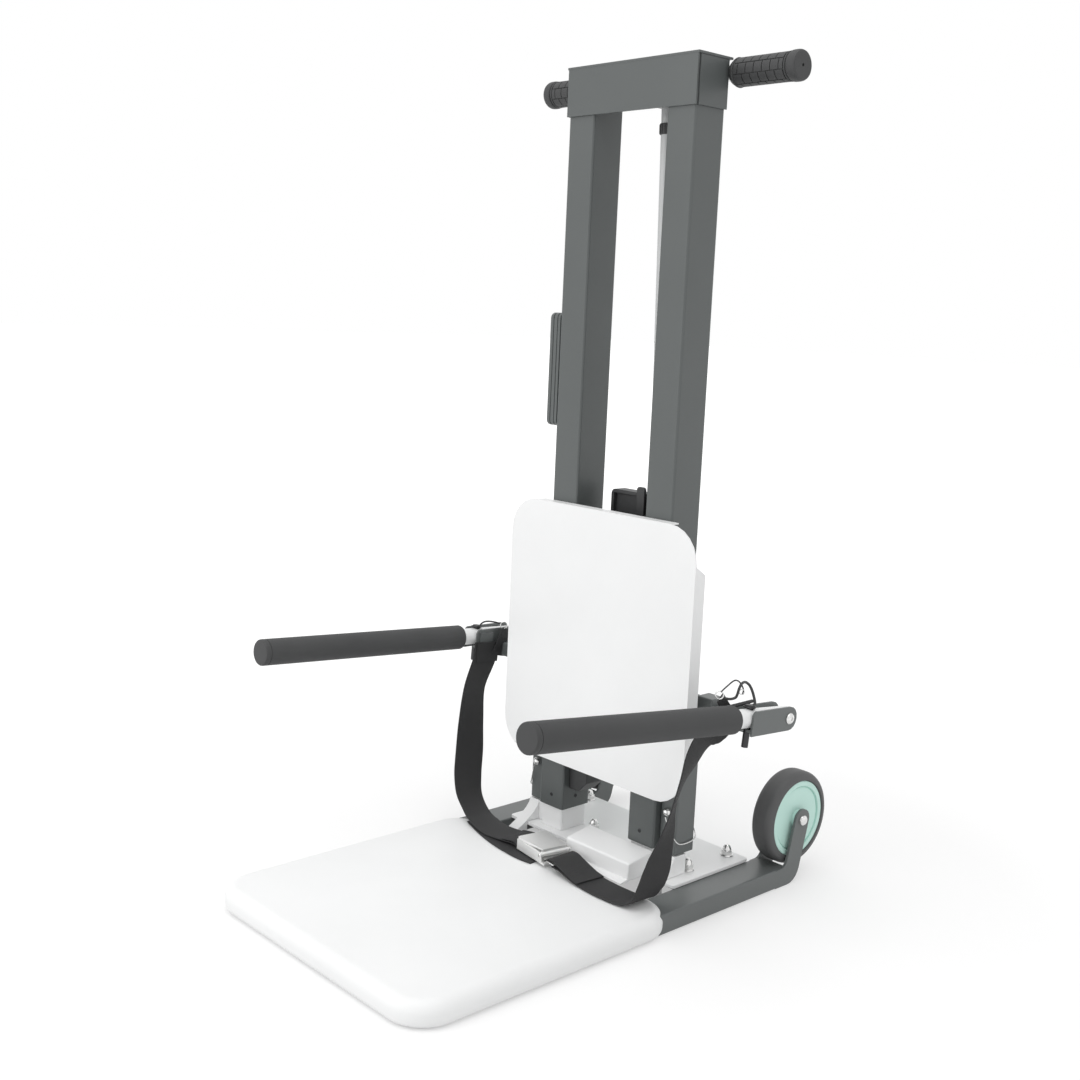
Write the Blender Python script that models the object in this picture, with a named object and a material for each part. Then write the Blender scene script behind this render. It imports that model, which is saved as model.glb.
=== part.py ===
"""Sit-to-stand lift: a low platform on two wheeled rails, with a telescoping twin-post mast.

Metres, +Z up. The machine faces -Y, and the origin lies on the floor under the middle of its box.
"""
from math import atan2, cos, pi, radians, sin, tan

import bmesh
import bpy
from mathutils import Matrix, Vector

# Clearances
SEAT = 0.0003
SLIDE_GAP = 0.0003
PIN_GAP = 0.0003

# Mast posts: dark outer tubes that rise on white inner tubes
POST_SIZE = 0.050
POST_DEPTH = 0.057
POST_WALL = 0.003
POST_CORNER = 0.004
POST_GAP = 0.134
POST_FRONT_Y = 0.108
POST_BOTTOM_Z = 0.067
POST_LENGTH = 1.064
INNER_WALL = 0.003
INNER_LENGTH = 0.680

# Crosshead, handlebar and grips
CROSSHEAD_SHEET = 0.003
CROSSHEAD_HEIGHT = 0.066
CROSSHEAD_OVERHANG = 0.0015
CROSSHEAD_CHEEK = 0.0015
CROSSHEAD_SEAM = 0.002
CROSSHEAD_LID_DEPTH = 0.067
CROSSHEAD_WEB = 0.004
CROSSHEAD_WEB_RISE = 0.010
BAR_RADIUS = 0.011
BAR_DROP = 0.0187
BAR_STAND_OFF = 0.001
BAR_BLOCK_WIDTH = 0.030
BAR_BLOCK_HEIGHT = 0.016
GRIP_RADIUS = 0.0185
GRIP_FLANGE = 0.0195
GRIP_FLANGE_LENGTH = 0.007
GRIP_LENGTH = 0.1085
GRIP_END_WALL = 0.004

# Rails, wheel arms and wheels
RAIL_WIDTH = 0.050
RAIL_HEIGHT = 0.028
RAIL_WALL = 0.0025
RAIL_OUTER_X = 0.215
RAIL_REAR_Y = 0.286
RAIL_CORNER = 0.003
ARM_PLATE = 0.004
ARM_PLATE_WIDTH = 0.032
ARM_PLATE_LEAN = radians(13.4)
ARM_PLATE_BEND = 0.026
ARM_PLATE_LAP = 0.020
AXLE_Y = 0.3190
AXLE_Z = 0.0918
AXLE_RADIUS = 0.005
AXLE_HEAD_RADIUS = 0.0078
AXLE_HEAD = 0.0045
AXLE_NUT = 0.008
WHEEL_RADIUS = 0.0685
WHEEL_WIDTH = 0.036
TYRE_SHOULDER = 0.0048
TYRE_CROWN = 0.012
HUB_RADIUS = 0.0555
HUB_INSET = 0.0015
BOSS_RADIUS = 0.012

# Base plate, cross bars and dome nuts
PLATE_THICKNESS = 0.005
PLATE_HALF_WIDTH = 0.168
PLATE_FRONT = 0.011
PLATE_REAR = 0.151
CROSS_BAR_DEPTH = 0.030
CROSS_BAR_HEIGHT = 0.025
CROSS_BAR_FRONT = 0.048
CROSS_BAR_REAR = 0.134
STUD_RADIUS = 0.005
STUD_DEPTH = 0.022
NUT_RADIUS = 0.0085
NUT_FLANGE = 0.0095
NUT_FLANGE_HEIGHT = 0.0018
NUT_HEIGHT = 0.0090
NUT_DOME = 0.0080
NUT_OUTER_X = 0.142
NUT_INNER_X = 0.0455

# Feet under the arm uprights, each with a hollow-curved toe that runs forward
FOOT_WIDTH = 0.031
FOOT_DEPTH = 0.0235
FOOT_TOE = 0.0536
FOOT_TOE_WIDTH = 0.0195
FOOT_TOE_Z = 0.020
FOOT_TOE_BOTTOM_Z = 0.012
FOOT_SWEEP = 1.7
FOOT_GAP = 0.0025

# Platform and drive cover
PLATFORM_HALF_WIDTH = 0.2245
PLATFORM_FRONT_Y = -0.388
PLATFORM_REAR_GAP = 0.060
PLATFORM_TOP_Z = 0.0335
PLATFORM_SKIRT_Z = 0.002
PLATFORM_CORNER = 0.0525
PLATFORM_EDGE = 0.016
PLATFORM_WALL = 0.0025
PLATFORM_LIP = 0.0065
COVER_LEFT_X = -0.003
COVER_RIGHT_X = 0.122
COVER_FOOT = 0.0665
COVER_FOOT_RISE = 0.0015
COVER_CREASE = 0.054
COVER_CREASE_RISE = 0.005
COVER_RIDGE = 0.052
COVER_RIDGE_RISE = 0.026
COVER_BACK = 0.004
COVER_BACK_RISE = 0.034
COVER_BEVEL = 0.003

# Back panel and its spacers
PANEL_HALF_WIDTH = 0.1805
PANEL_BOTTOM_Z = 0.147
PANEL_HEIGHT = 0.383
PANEL_CORNER = 0.050
PANEL_SHEET = 0.002
PANEL_STAND_OFF = 0.0195
PANEL_FLANGE = 0.021
PANEL_FLANGE_CUT = 0.013
PANEL_TOP_FLANGE = 0.0185
SPACER_HEIGHT = 0.030
SPACER_RISE = 0.043
SPACER_DROP = 0.045
SPACER_INSET = 0.005

# Boxes and cable conduit on the mast
CONTROL_DEPTH = 0.022
CONTROL_FRONT = 0.001
CONTROL_WIDTH = 0.048
CONTROL_BOTTOM_Z = 0.637
CONTROL_HEIGHT = 0.162
CONTROL_CORNER = 0.012
CONTROL_EDGE = 0.0024
BATTERY_HALF_WIDTH = 0.041
BATTERY_FRONT = 0.044
BATTERY_DEPTH = 0.022
BATTERY_TOP_Z = 0.553
BATTERY_HEIGHT = 0.230
BATTERY_EAR = 0.012
POWER_WIDTH = 0.036
POWER_FRONT = 0.012
POWER_DEPTH = 0.036
POWER_BOTTOM_Z = 0.100
POWER_HEIGHT = 0.188
POWER_CUT = 0.016
CONDUIT_X = 0.0185
CONDUIT_Y = 0.055
CONDUIT_FOOT_X = 0.032
CONDUIT_FOOT_Y = 0.059
CONDUIT_RADIUS = 0.009
CONDUIT_WALL = 0.002
CONDUIT_MARGIN = 0.007
GLAND_RADIUS = 0.0112
GLAND_LENGTH = 0.0145
GLAND_DROP = 0.011

# Arm frames: an upright beside each post, a cross tube and a channel that carries the arm
UPRIGHT_WIDTH = 0.031
UPRIGHT_DEPTH = 0.039
UPRIGHT_SET_BACK = 0.0116
UPRIGHT_WALL = 0.003
UPRIGHT_BOTTOM_Z = 0.065
UPRIGHT_TOP_Z = 0.288
CROSS_TUBE_DEPTH = 0.022
CROSS_TUBE_BOTTOM_Z = 0.262
CROSS_TUBE_TOP_Z = 0.284
ARM_X = 0.272
ARM_PIVOT = 0.060
ARM_PIVOT_Z = 0.289
ARM_TILT = {"right": radians(6.6), "left": radians(4.0)}
ARM_REACH = 0.455
TUBE_RADIUS = 0.0125
TUBE_WALL = 0.002
TUBE_TAIL = 0.012
FOAM_RADIUS = 0.0185
FOAM_START = 0.0995
FOAM_CAP = 0.004
FOAM_EDGE = 0.003
CHANNEL_SIDE = 0.003
CHANNEL_GAP = 0.0006
CHANNEL_FRONT = 0.076
CHANNEL_DROP = 0.020
CHANNEL_WEB_START = 0.022
CHANNEL_RISE = 0.0125
CHANNEL_NOSE = 0.0155
PIVOT_RADIUS = 0.004
PIVOT_HEAD_RADIUS = 0.0075
PIVOT_HEAD = 0.004
HEAD_CROWN = 0.8
PIVOT_NUT = 0.006

# Pull pins
LOCK_PIN_AT = 0.066
LOCK_PIN_RADIUS = 0.0045
LOCK_PIN_BELOW = 0.018
LOCK_HEAD_RADIUS = 0.0065
LOCK_HEAD = 0.005
LOCK_NOTCH_GAP = 0.0015
MAST_PIN_Z = 0.1246
MAST_PIN_OUT = 0.016
MAST_PIN_RADIUS = 0.004
MAST_HEAD_RADIUS = 0.0062
MAST_HEAD = 0.009
MAST_PIN_TAIL = 0.006

# Lap belt and lift-lever buckle
BELT_WIDTH = 0.049
BELT_THICKNESS = 0.002
BELT_STEPS = 6
BELT_STRAIGHT = 0.018
BELT_PAD = 0.003
BELT_PAD_BACK = 0.046
BELT_PAD_LENGTH = 0.024
BELT_PAD_LOW = 0.014
BELT_PAD_HEIGHT = 0.022
BUCKLE_X = -0.013
BUCKLE_BACK = 0.082
BUCKLE_TURN = radians(-9.0)
BUCKLE_LENGTH = 0.070
BUCKLE_WIDTH = 0.052
BUCKLE_FLOOR = 0.0025
BUCKLE_SIDE = 0.002
BUCKLE_SIDE_RISE = 0.0125
BUCKLE_LIFT = 0.004
LEVER_THICKNESS = 0.003
LEVER_CORNER = 0.005
LEVER_AXIS_AT = 0.023
LEVER_AXIS_RISE = 0.0085
LEVER_PIN_RADIUS = 0.0018
LEVER_BARREL_RADIUS = 0.0032
LEVER_NECK = 0.0052
TONGUE_THICKNESS = 0.0025
TONGUE_WIDTH = 0.040
TONGUE_INSIDE = 0.014
TONGUE_OUTSIDE = 0.016
TONGUE_RISE = 0.0006

# Places worked out from the sizes above
POST_X = POST_GAP / 2 + POST_SIZE / 2
POST_Y = POST_FRONT_Y + POST_DEPTH / 2
POST_REAR_Y = POST_FRONT_Y + POST_DEPTH
POST_OUTER_X = POST_GAP / 2 + POST_SIZE
POST_TOP_Z = POST_BOTTOM_Z + POST_LENGTH
INNER_SIZE = POST_SIZE - 2 * (POST_WALL + SLIDE_GAP)
INNER_DEPTH = POST_DEPTH - 2 * (POST_WALL + SLIDE_GAP)
LID_TOP_Z = POST_TOP_Z + SEAT + CROSSHEAD_SHEET
CROSSHEAD_BOTTOM_Z = LID_TOP_Z - CROSSHEAD_HEIGHT
WEB_Z = CROSSHEAD_BOTTOM_Z + CROSSHEAD_WEB_RISE
BAR_Y = POST_REAR_Y + BAR_STAND_OFF + BAR_RADIUS
BAR_Z = LID_TOP_Z - BAR_DROP
CHEEK_X = POST_OUTER_X + CROSSHEAD_OVERHANG + CROSSHEAD_CHEEK
GRIP_INNER_X = CHEEK_X + SEAT
RAIL_INNER_X = RAIL_OUTER_X - RAIL_WIDTH
RAIL_FRONT_Y = PLATFORM_FRONT_Y + PLATFORM_CORNER
PLATE_Z = RAIL_HEIGHT + SEAT
PLATE_TOP_Z = PLATE_Z + PLATE_THICKNESS
BASE_SEAT_Z = PLATE_TOP_Z + SEAT
WHEEL_ARM_INNER_X = RAIL_INNER_X + SEAT
WHEEL_ARM_OUTER_X = RAIL_OUTER_X - SEAT
WHEEL_X = (WHEEL_ARM_INNER_X + WHEEL_ARM_OUTER_X) / 2
PLATFORM_REAR_Y = POST_FRONT_Y - PLATFORM_REAR_GAP
PANEL_FRONT_Y = POST_FRONT_Y - PANEL_STAND_OFF
PANEL_BACK_Y = PANEL_FRONT_Y + PANEL_SHEET
PANEL_TOP_Z = PANEL_BOTTOM_Z + PANEL_HEIGHT
SPACER_LOW_Z = PANEL_BOTTOM_Z + SPACER_RISE
SPACER_HIGH_Z = PANEL_TOP_Z - SPACER_DROP - SPACER_HEIGHT
UPRIGHT_INNER_X = POST_OUTER_X + SEAT
UPRIGHT_OUTER_X = UPRIGHT_INNER_X + UPRIGHT_WIDTH
UPRIGHT_FRONT_Y = POST_FRONT_Y + UPRIGHT_SET_BACK
UPRIGHT_REAR_Y = UPRIGHT_FRONT_Y + UPRIGHT_DEPTH
CHANNEL_INSIDE = TUBE_RADIUS + CHANNEL_GAP
CHANNEL_OUTSIDE = CHANNEL_INSIDE + CHANNEL_SIDE
MAST_PIN_X = POST_OUTER_X + MAST_PIN_OUT
BELT_HANG_X = ARM_X - CHANNEL_OUTSIDE - BELT_PAD - SEAT - BELT_THICKNESS / 2
BELT_FLOOR_Z = PLATFORM_TOP_Z + SEAT
BUCKLE_Y = POST_FRONT_Y - BUCKLE_BACK
BUCKLE_Z = BELT_FLOOR_Z + BUCKLE_LIFT
SIDES = (("right", 1.0), ("left", -1.0))


def clear_scene():
    for old in list(bpy.data.objects):
        bpy.data.objects.remove(old, do_unlink=True)


def material(name, colour, roughness, metallic=0.0):
    made = bpy.data.materials.new(name)
    made.use_nodes = True
    shader = made.node_tree.nodes["Principled BSDF"]
    shader.inputs["Base Color"].default_value = (*colour, 1.0)
    shader.inputs["Roughness"].default_value = roughness
    shader.inputs["Metallic"].default_value = metallic
    made.diffuse_color = (*colour, 1.0)
    return made


def finish(name, bm, look, origin=(0.0, 0.0, 0.0)):
    """Turn a bmesh in world coordinates into a named object with its origin at the given point."""
    bmesh.ops.recalc_face_normals(bm, faces=bm.faces)
    mesh = bpy.data.meshes.new(name)
    bm.to_mesh(mesh)
    bm.free()
    mesh.transform(Matrix.Translation(-Vector(origin)))
    mesh.shade_smooth()
    mesh.set_sharp_from_angle(angle=radians(35))
    made = bpy.data.objects.new(name, mesh)
    made.location = origin
    bpy.context.scene.collection.objects.link(made)
    if look is not None:
        mesh.materials.append(look)
    return made


def combine(target, tool_mesh, operation):
    """Join a hidden tool body to the target, or cut it away."""
    tool = finish(f"{target.name}_{operation.lower()}_{len(target.modifiers)}", tool_mesh, None)
    tool.hide_render = True
    tool.display_type = "WIRE"
    step = target.modifiers.new(operation.title(), "BOOLEAN")
    step.operation = operation
    step.solver = "EXACT"
    step.object = tool


def bevel(target, width, segments=2):
    step = target.modifiers.new("Rounded edges", "BEVEL")
    step.width = width
    step.segments = segments
    step.limit_method = "ANGLE"
    step.angle_limit = radians(40)


def rounded_outline(corners, steps=4):
    """Points of a polygon whose corners (a, b, radius) are replaced by arcs."""
    points = []
    for index, (a, b, radius) in enumerate(corners):
        corner = Vector((a, b))
        if radius == 0:
            points.append((a, b))
            continue
        before = (Vector(corners[index - 1][:2]) - corner).normalized()
        after = (Vector(corners[(index + 1) % len(corners)][:2]) - corner).normalized()
        half = before.angle(after) / 2
        centre = corner + (before + after).normalized() * (radius / sin(half))
        start = corner + before * (radius / tan(half)) - centre
        end = corner + after * (radius / tan(half)) - centre
        first = atan2(start.y, start.x)
        turn = (atan2(end.y, end.x) - first + pi) % (2 * pi) - pi
        for k in range(steps + 1):
            angle = first + turn * k / steps
            points.append((centre.x + radius * cos(angle), centre.y + radius * sin(angle)))
    return points


def rectangle(a0, a1, b0, b1, radius=0.0, steps=3):
    return rounded_outline([(a0, b0, radius), (a1, b0, radius), (a1, b1, radius), (a0, b1, radius)], steps)


def at_axis(axis, a, b, along):
    """World point of an outline point (a, b) on a plane square to an axis."""
    if axis == "X":
        return (along, a, b)
    if axis == "Y":
        return (a, along, b)
    return (a, b, along)


def prism(outline, axis, low, high):
    bm = bmesh.new()
    add_prism(bm, outline, axis, low, high)
    return bm


def add_prism(bm, outline, axis, low, high):
    ends = [[bm.verts.new(at_axis(axis, a, b, along)) for a, b in outline] for along in (low, high)]
    bridge(bm, ends[0], ends[1])
    for ring in ends:
        bm.faces.new(ring)


def bridge(bm, first, second):
    for index in range(len(first)):
        follow = (index + 1) % len(first)
        bm.faces.new((first[index], first[follow], second[follow], second[index]))


def box(x0, x1, y0, y1, z0, z1):
    return prism(rectangle(x0, x1, y0, y1), "Z", z0, z1)


def hollow_prism(outer, inner, axis, low, high):
    """A tube with open ends, from an outer and an inner outline with the same number of points."""
    bm = bmesh.new()
    rings = [[bm.verts.new(at_axis(axis, a, b, along)) for a, b in outline]
             for outline, along in ((outer, low), (outer, high), (inner, high), (inner, low))]
    for index in range(4):
        bridge(bm, rings[index], rings[(index + 1) % 4])
    return bm


def square_tube(a0, a1, b0, b1, wall, corner, axis, low, high):
    inside = max(corner - wall, wall * 0.2)
    outer = rectangle(a0, a1, b0, b1, corner)
    inner = rectangle(a0 + wall, a1 - wall, b0 + wall, b1 - wall, inside)
    return hollow_prism(outer, inner, axis, low, high)


def lathe(profile, frame, steps, closed=False):
    """Turn a profile of (radius, height) points about the frame's Z axis."""
    bm = bmesh.new()
    rings = []
    for radius, height in profile:
        if radius == 0:
            rings.append([bm.verts.new(frame @ Vector((0, 0, height)))])
            continue
        rings.append([bm.verts.new(frame @ Vector((radius * cos(2 * pi * k / steps),
                                                   radius * sin(2 * pi * k / steps), height)))
                      for k in range(steps)])
    pairs = list(zip(rings, rings[1:]))
    if closed:
        pairs.append((rings[-1], rings[0]))
    for first, second in pairs:
        join_rings(bm, first, second, steps)
    if not closed:
        for ring in (rings[0], rings[-1]):
            if len(ring) > 1:
                bm.faces.new(ring)
    return bm


def join_rings(bm, first, second, steps):
    if len(first) > 1 and len(second) > 1:
        bridge(bm, first, second)
        return
    tip, ring = (first[0], second) if len(first) == 1 else (second[0], first)
    for k in range(steps):
        bm.faces.new((tip, ring[k], ring[(k + 1) % steps]))


def cylinder(radius, frame, low, high, steps=16):
    return lathe([(radius, low), (radius, high)], frame, steps)


def frame_x(x, y, z, side=1.0):
    """A frame whose Z axis runs outward along X."""
    return Matrix.Translation((x, y, z)) @ Matrix.Rotation(side * pi / 2, 4, "Y")


def frame_y(x, y, z):
    """A frame whose Z axis runs forward, along -Y."""
    return Matrix.Translation((x, y, z)) @ Matrix.Rotation(pi / 2, 4, "X")


def frame_z(x, y, z):
    return Matrix.Translation((x, y, z))


def span(side, first, second):
    """Two X values on one side of the machine, in rising order."""
    return tuple(sorted((side * first, side * second)))


def make_rail(name, side, look):
    """Rectangular floor rail, with two bent plates welded on behind it to hold the wheel."""
    x0, x1 = span(side, RAIL_INNER_X, RAIL_OUTER_X)
    rail = finish(name, square_tube(x0, x1, 0.0, RAIL_HEIGHT, RAIL_WALL, RAIL_CORNER, "Y",
                                    RAIL_FRONT_Y, RAIL_REAR_Y), look)
    half = ARM_PLATE_WIDTH / 2
    along = Vector((sin(ARM_PLATE_LEAN), cos(ARM_PLATE_LEAN)))
    across = Vector((cos(ARM_PLATE_LEAN), -sin(ARM_PLATE_LEAN)))
    axle = Vector((AXLE_Y, AXLE_Z))
    top = axle + along * half
    low_z = SEAT
    high_z = RAIL_HEIGHT - SEAT
    rear = axle + across * half
    front = axle - across * half
    rear_foot = rear - along * ((rear.y - low_z) / along.y)
    front_foot = front - along * ((front.y - high_z) / along.y)
    lap_y = RAIL_REAR_Y - ARM_PLATE_LAP
    top_round = half * 0.98
    outline = rounded_outline([
        (lap_y, low_z, 0), (rear_foot.x, low_z, ARM_PLATE_BEND),
        (*(top + across * half), top_round), (*(top - across * half), top_round),
        (front_foot.x, high_z, ARM_PLATE_BEND / 2), (lap_y, high_z, 0)], 5)
    for inner, outer in ((WHEEL_ARM_INNER_X, WHEEL_ARM_INNER_X + ARM_PLATE),
                         (WHEEL_ARM_OUTER_X - ARM_PLATE, WHEEL_ARM_OUTER_X)):
        combine(rail, prism(outline, "X", *span(side, inner, outer)), "UNION")
    hole = cylinder(AXLE_RADIUS + PIN_GAP, frame_x(side * RAIL_INNER_X, AXLE_Y, AXLE_Z, side),
                    -RAIL_WIDTH, 2 * RAIL_WIDTH)
    combine(rail, hole, "DIFFERENCE")


def make_wheel(side_name, side, tyre_look, hub_look, axle_look):
    """Rubber tyre on a moulded hub, running on a shouldered bolt between the two plates."""
    centre = (side * WHEEL_X, AXLE_Y, AXLE_Z)
    frame = frame_x(*centre, side)
    half = WHEEL_WIDTH / 2
    shoulder = WHEEL_RADIUS - TYRE_SHOULDER
    flank = half - HUB_INSET
    crown = half - TYRE_CROWN
    bead = HUB_RADIUS + SEAT
    tyre = [(bead, flank), (bead, -flank), (bead + HUB_INSET, -half), (shoulder, -flank),
            (WHEEL_RADIUS, -crown), (WHEEL_RADIUS, crown), (shoulder, flank), (bead + HUB_INSET, half)]
    finish(f"wheel_tyre_{side_name}", lathe(tyre, frame, 40, True), tyre_look, centre)
    boss_out = WHEEL_ARM_OUTER_X - ARM_PLATE - SEAT - WHEEL_X
    face = half - HUB_INSET
    bore = AXLE_RADIUS + PIN_GAP
    hub = [(bore, boss_out), (bore, -boss_out), (BOSS_RADIUS, -boss_out), (BOSS_RADIUS, -face),
           (HUB_RADIUS, -face), (HUB_RADIUS, face), (BOSS_RADIUS, face), (BOSS_RADIUS, boss_out)]
    finish(f"wheel_hub_{side_name}", lathe(hub, frame, 40, True), hub_look, centre)
    plate_out = WHEEL_ARM_OUTER_X - WHEEL_X + SEAT
    plate_in = WHEEL_ARM_INNER_X - WHEEL_X - SEAT
    bolt = [(AXLE_HEAD_RADIUS * 0.7, plate_out + AXLE_HEAD), (AXLE_HEAD_RADIUS, plate_out + AXLE_HEAD * 0.6),
            (AXLE_HEAD_RADIUS, plate_out), (AXLE_RADIUS, plate_out), (AXLE_RADIUS, plate_in),
            (AXLE_HEAD_RADIUS, plate_in), (AXLE_HEAD_RADIUS, plate_in - AXLE_NUT)]
    finish(f"axle_bolt_{side_name}", lathe(bolt, frame, 20), axle_look)


def nut_places():
    front_y = POST_FRONT_Y + CROSS_BAR_FRONT
    rear_y = POST_FRONT_Y + CROSS_BAR_REAR
    for side in (1.0, -1.0):
        yield side * NUT_OUTER_X, rear_y
        yield side * NUT_OUTER_X, front_y
        yield side * NUT_INNER_X, front_y


def stud_holes(places):
    bm = bmesh.new()
    radius = STUD_RADIUS + PIN_GAP
    for x, y in places:
        ring = [(x + radius * cos(2 * pi * k / 12), y + radius * sin(2 * pi * k / 12)) for k in range(12)]
        add_prism(bm, ring, "Z", -RAIL_HEIGHT, PLATE_TOP_Z + RAIL_HEIGHT)
    return bm


def make_base(dark, white, bright):
    """Base plate on two cross bars between the rails, held down by studs with dome nuts."""
    outline = rectangle(-PLATE_HALF_WIDTH, PLATE_HALF_WIDTH, POST_FRONT_Y - PLATE_FRONT,
                        POST_FRONT_Y + PLATE_REAR, PLATE_THICKNESS)
    plate = finish("base_plate", prism(outline, "Z", PLATE_Z, PLATE_TOP_Z), white)
    places = list(nut_places())
    combine(plate, stud_holes(places), "DIFFERENCE")
    for name, back in (("cross_bar_front", CROSS_BAR_FRONT), ("cross_bar_rear", CROSS_BAR_REAR)):
        reach = RAIL_INNER_X - SEAT
        middle = POST_FRONT_Y + back
        bar = finish(name, box(-reach, reach, middle - CROSS_BAR_DEPTH / 2, middle + CROSS_BAR_DEPTH / 2,
                               RAIL_HEIGHT - CROSS_BAR_HEIGHT, RAIL_HEIGHT), dark)
        combine(bar, stud_holes([place for place in places if place[1] == middle]), "DIFFERENCE")
    nut = [(STUD_RADIUS, -STUD_DEPTH), (STUD_RADIUS, 0), (NUT_FLANGE, 0), (NUT_FLANGE, NUT_FLANGE_HEIGHT),
           (NUT_RADIUS, NUT_FLANGE_HEIGHT), (NUT_RADIUS, NUT_HEIGHT)]
    for angle in (radians(30), radians(60), radians(90)):
        nut.append((NUT_RADIUS * cos(angle) if angle < pi / 2 else 0, NUT_HEIGHT + NUT_DOME * sin(angle)))
    for number, (x, y) in enumerate(places, 1):
        finish(f"dome_nut_{number}", lathe(nut, frame_z(x, y, BASE_SEAT_Z), 12), bright)


def make_inner_post(name, side, look):
    """White inner tube of the mast on the base plate, and its foot, whose toe hangs before the plate."""
    x0, x1 = side * POST_X - INNER_SIZE / 2, side * POST_X + INNER_SIZE / 2
    y0, y1 = POST_Y - INNER_DEPTH / 2, POST_Y + INNER_DEPTH / 2
    post = finish(name, square_tube(x0, x1, y0, y1, INNER_WALL, POST_CORNER - SLIDE_GAP, "Z",
                                    BASE_SEAT_Z, BASE_SEAT_Z + INNER_LENGTH), look)
    start = POST_X + INNER_SIZE / 2 - INNER_WALL / 2
    outer = UPRIGHT_INNER_X + FOOT_WIDTH
    rear = UPRIGHT_FRONT_Y + FOOT_DEPTH
    top_z = UPRIGHT_BOTTOM_Z - FOOT_GAP
    base_z = BASE_SEAT_Z + SEAT
    combine(post, box(*span(side, start, outer - SEAT), UPRIGHT_FRONT_Y, rear, base_z, top_z), "UNION")
    before_plate = POST_FRONT_Y - PLATE_FRONT - SEAT
    hollow = [(rear - SEAT, base_z - SEAT / 2), (rear - SEAT, top_z - SEAT)]
    for k in range(7):
        share = k / 6
        hollow.append((UPRIGHT_FRONT_Y - SEAT - FOOT_TOE * share ** FOOT_SWEEP,
                       top_z - SEAT - (top_z - FOOT_TOE_Z) * share))
    hollow += [(UPRIGHT_FRONT_Y - SEAT - FOOT_TOE, FOOT_TOE_BOTTOM_Z), (before_plate, FOOT_TOE_BOTTOM_Z),
               (before_plate, base_z - SEAT / 2)]
    combine(post, prism(hollow, "X", *span(side, outer - FOOT_TOE_WIDTH, outer)), "UNION")


def platform_ring(bm, inset, z):
    corner = PLATFORM_CORNER - inset
    half = PLATFORM_HALF_WIDTH - inset
    outline = rectangle(-half, half, PLATFORM_FRONT_Y + inset, PLATFORM_REAR_Y - inset, corner, 6)
    return [bm.verts.new((x, y, z)) for x, y in outline]


def make_platform(look):
    """Low tray with rounded corners and a rolled edge, lying over the two rails."""
    bm = bmesh.new()
    shoulder = PLATFORM_TOP_Z - PLATFORM_EDGE
    levels = [(PLATFORM_LIP, RAIL_HEIGHT + SEAT), (PLATFORM_WALL, shoulder),
              (PLATFORM_WALL, PLATFORM_SKIRT_Z), (0.0, PLATFORM_SKIRT_Z)]
    for k in range(6):
        angle = k * pi / 10
        levels.append((PLATFORM_EDGE * (1 - cos(angle)), shoulder + PLATFORM_EDGE * sin(angle)))
    rings = [platform_ring(bm, inset, z) for inset, z in levels]
    for first, second in zip(rings, rings[1:]):
        bridge(bm, first, second)
    bm.faces.new(rings[0])
    bm.faces.new(rings[-1])
    platform = finish("platform", bm, look)
    for _, side in SIDES:
        x0, x1 = span(side, RAIL_INNER_X - SEAT, RAIL_OUTER_X + SEAT)
        combine(platform, box(x0, x1, PLATFORM_REAR_Y - PLATFORM_CORNER, PLATFORM_REAR_Y + PLATFORM_CORNER,
                              -RAIL_HEIGHT, RAIL_HEIGHT + SEAT * 1.5), "DIFFERENCE")


def make_drive_cover(look):
    """Sheet cover before the posts: a sloping top, a steep front and a foot over the platform's edge."""
    outline = [(POST_FRONT_Y - COVER_CREASE, BASE_SEAT_Z),
               (POST_FRONT_Y - COVER_RIDGE, BASE_SEAT_Z + COVER_RIDGE_RISE),
               (POST_FRONT_Y - COVER_BACK, BASE_SEAT_Z + COVER_BACK_RISE),
               (POST_FRONT_Y - COVER_BACK, BASE_SEAT_Z)]
    cover = finish("drive_cover", prism(outline, "X", COVER_LEFT_X, COVER_RIGHT_X), look)
    bevel(cover, COVER_BEVEL)
    inside = POST_FRONT_Y - (COVER_CREASE + COVER_RIDGE) / 2 + COVER_BEVEL
    foot_z = BASE_SEAT_Z + SEAT / 2
    foot = [(POST_FRONT_Y - COVER_FOOT, foot_z), (POST_FRONT_Y - COVER_FOOT, foot_z + COVER_FOOT_RISE),
            (inside, BASE_SEAT_Z + COVER_CREASE_RISE), (inside, foot_z)]
    combine(cover, prism(foot, "X", COVER_LEFT_X + COVER_BEVEL, COVER_RIGHT_X - SEAT), "UNION")


def make_mast(dark):
    for side_name, side in SIDES:
        x0, x1 = side * POST_X - POST_SIZE / 2, side * POST_X + POST_SIZE / 2
        finish(f"mast_post_{side_name}",
               square_tube(x0, x1, POST_FRONT_Y, POST_REAR_Y, POST_WALL, POST_CORNER, "Z",
                           POST_BOTTOM_Z, POST_TOP_Z), dark)
    half = POST_OUTER_X + CROSSHEAD_OVERHANG
    back = POST_FRONT_Y - SEAT
    front = back - CROSSHEAD_SHEET
    under = LID_TOP_Z - CROSSHEAD_SHEET
    head = finish("crosshead", box(-CHEEK_X, CHEEK_X, front, front + CROSSHEAD_LID_DEPTH, under, LID_TOP_Z),
                  dark)
    into_lid = under + CROSSHEAD_SHEET / 2
    combine(head, box(-half, half, front + SEAT, back, CROSSHEAD_BOTTOM_Z, into_lid), "UNION")
    for _, side in SIDES:
        combine(head, box(*span(side, POST_OUTER_X + SEAT, CHEEK_X - SEAT), back + CROSSHEAD_SEAM,
                          POST_REAR_Y, CROSSHEAD_BOTTOM_Z, into_lid), "UNION")
    around = CONDUIT_RADIUS + CONDUIT_MARGIN
    combine(head, box(CONDUIT_X - around, POST_GAP / 2 - SEAT, back - CROSSHEAD_SHEET / 2,
                      POST_FRONT_Y + CONDUIT_Y + around, WEB_Z, WEB_Z + CROSSHEAD_WEB), "UNION")


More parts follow.
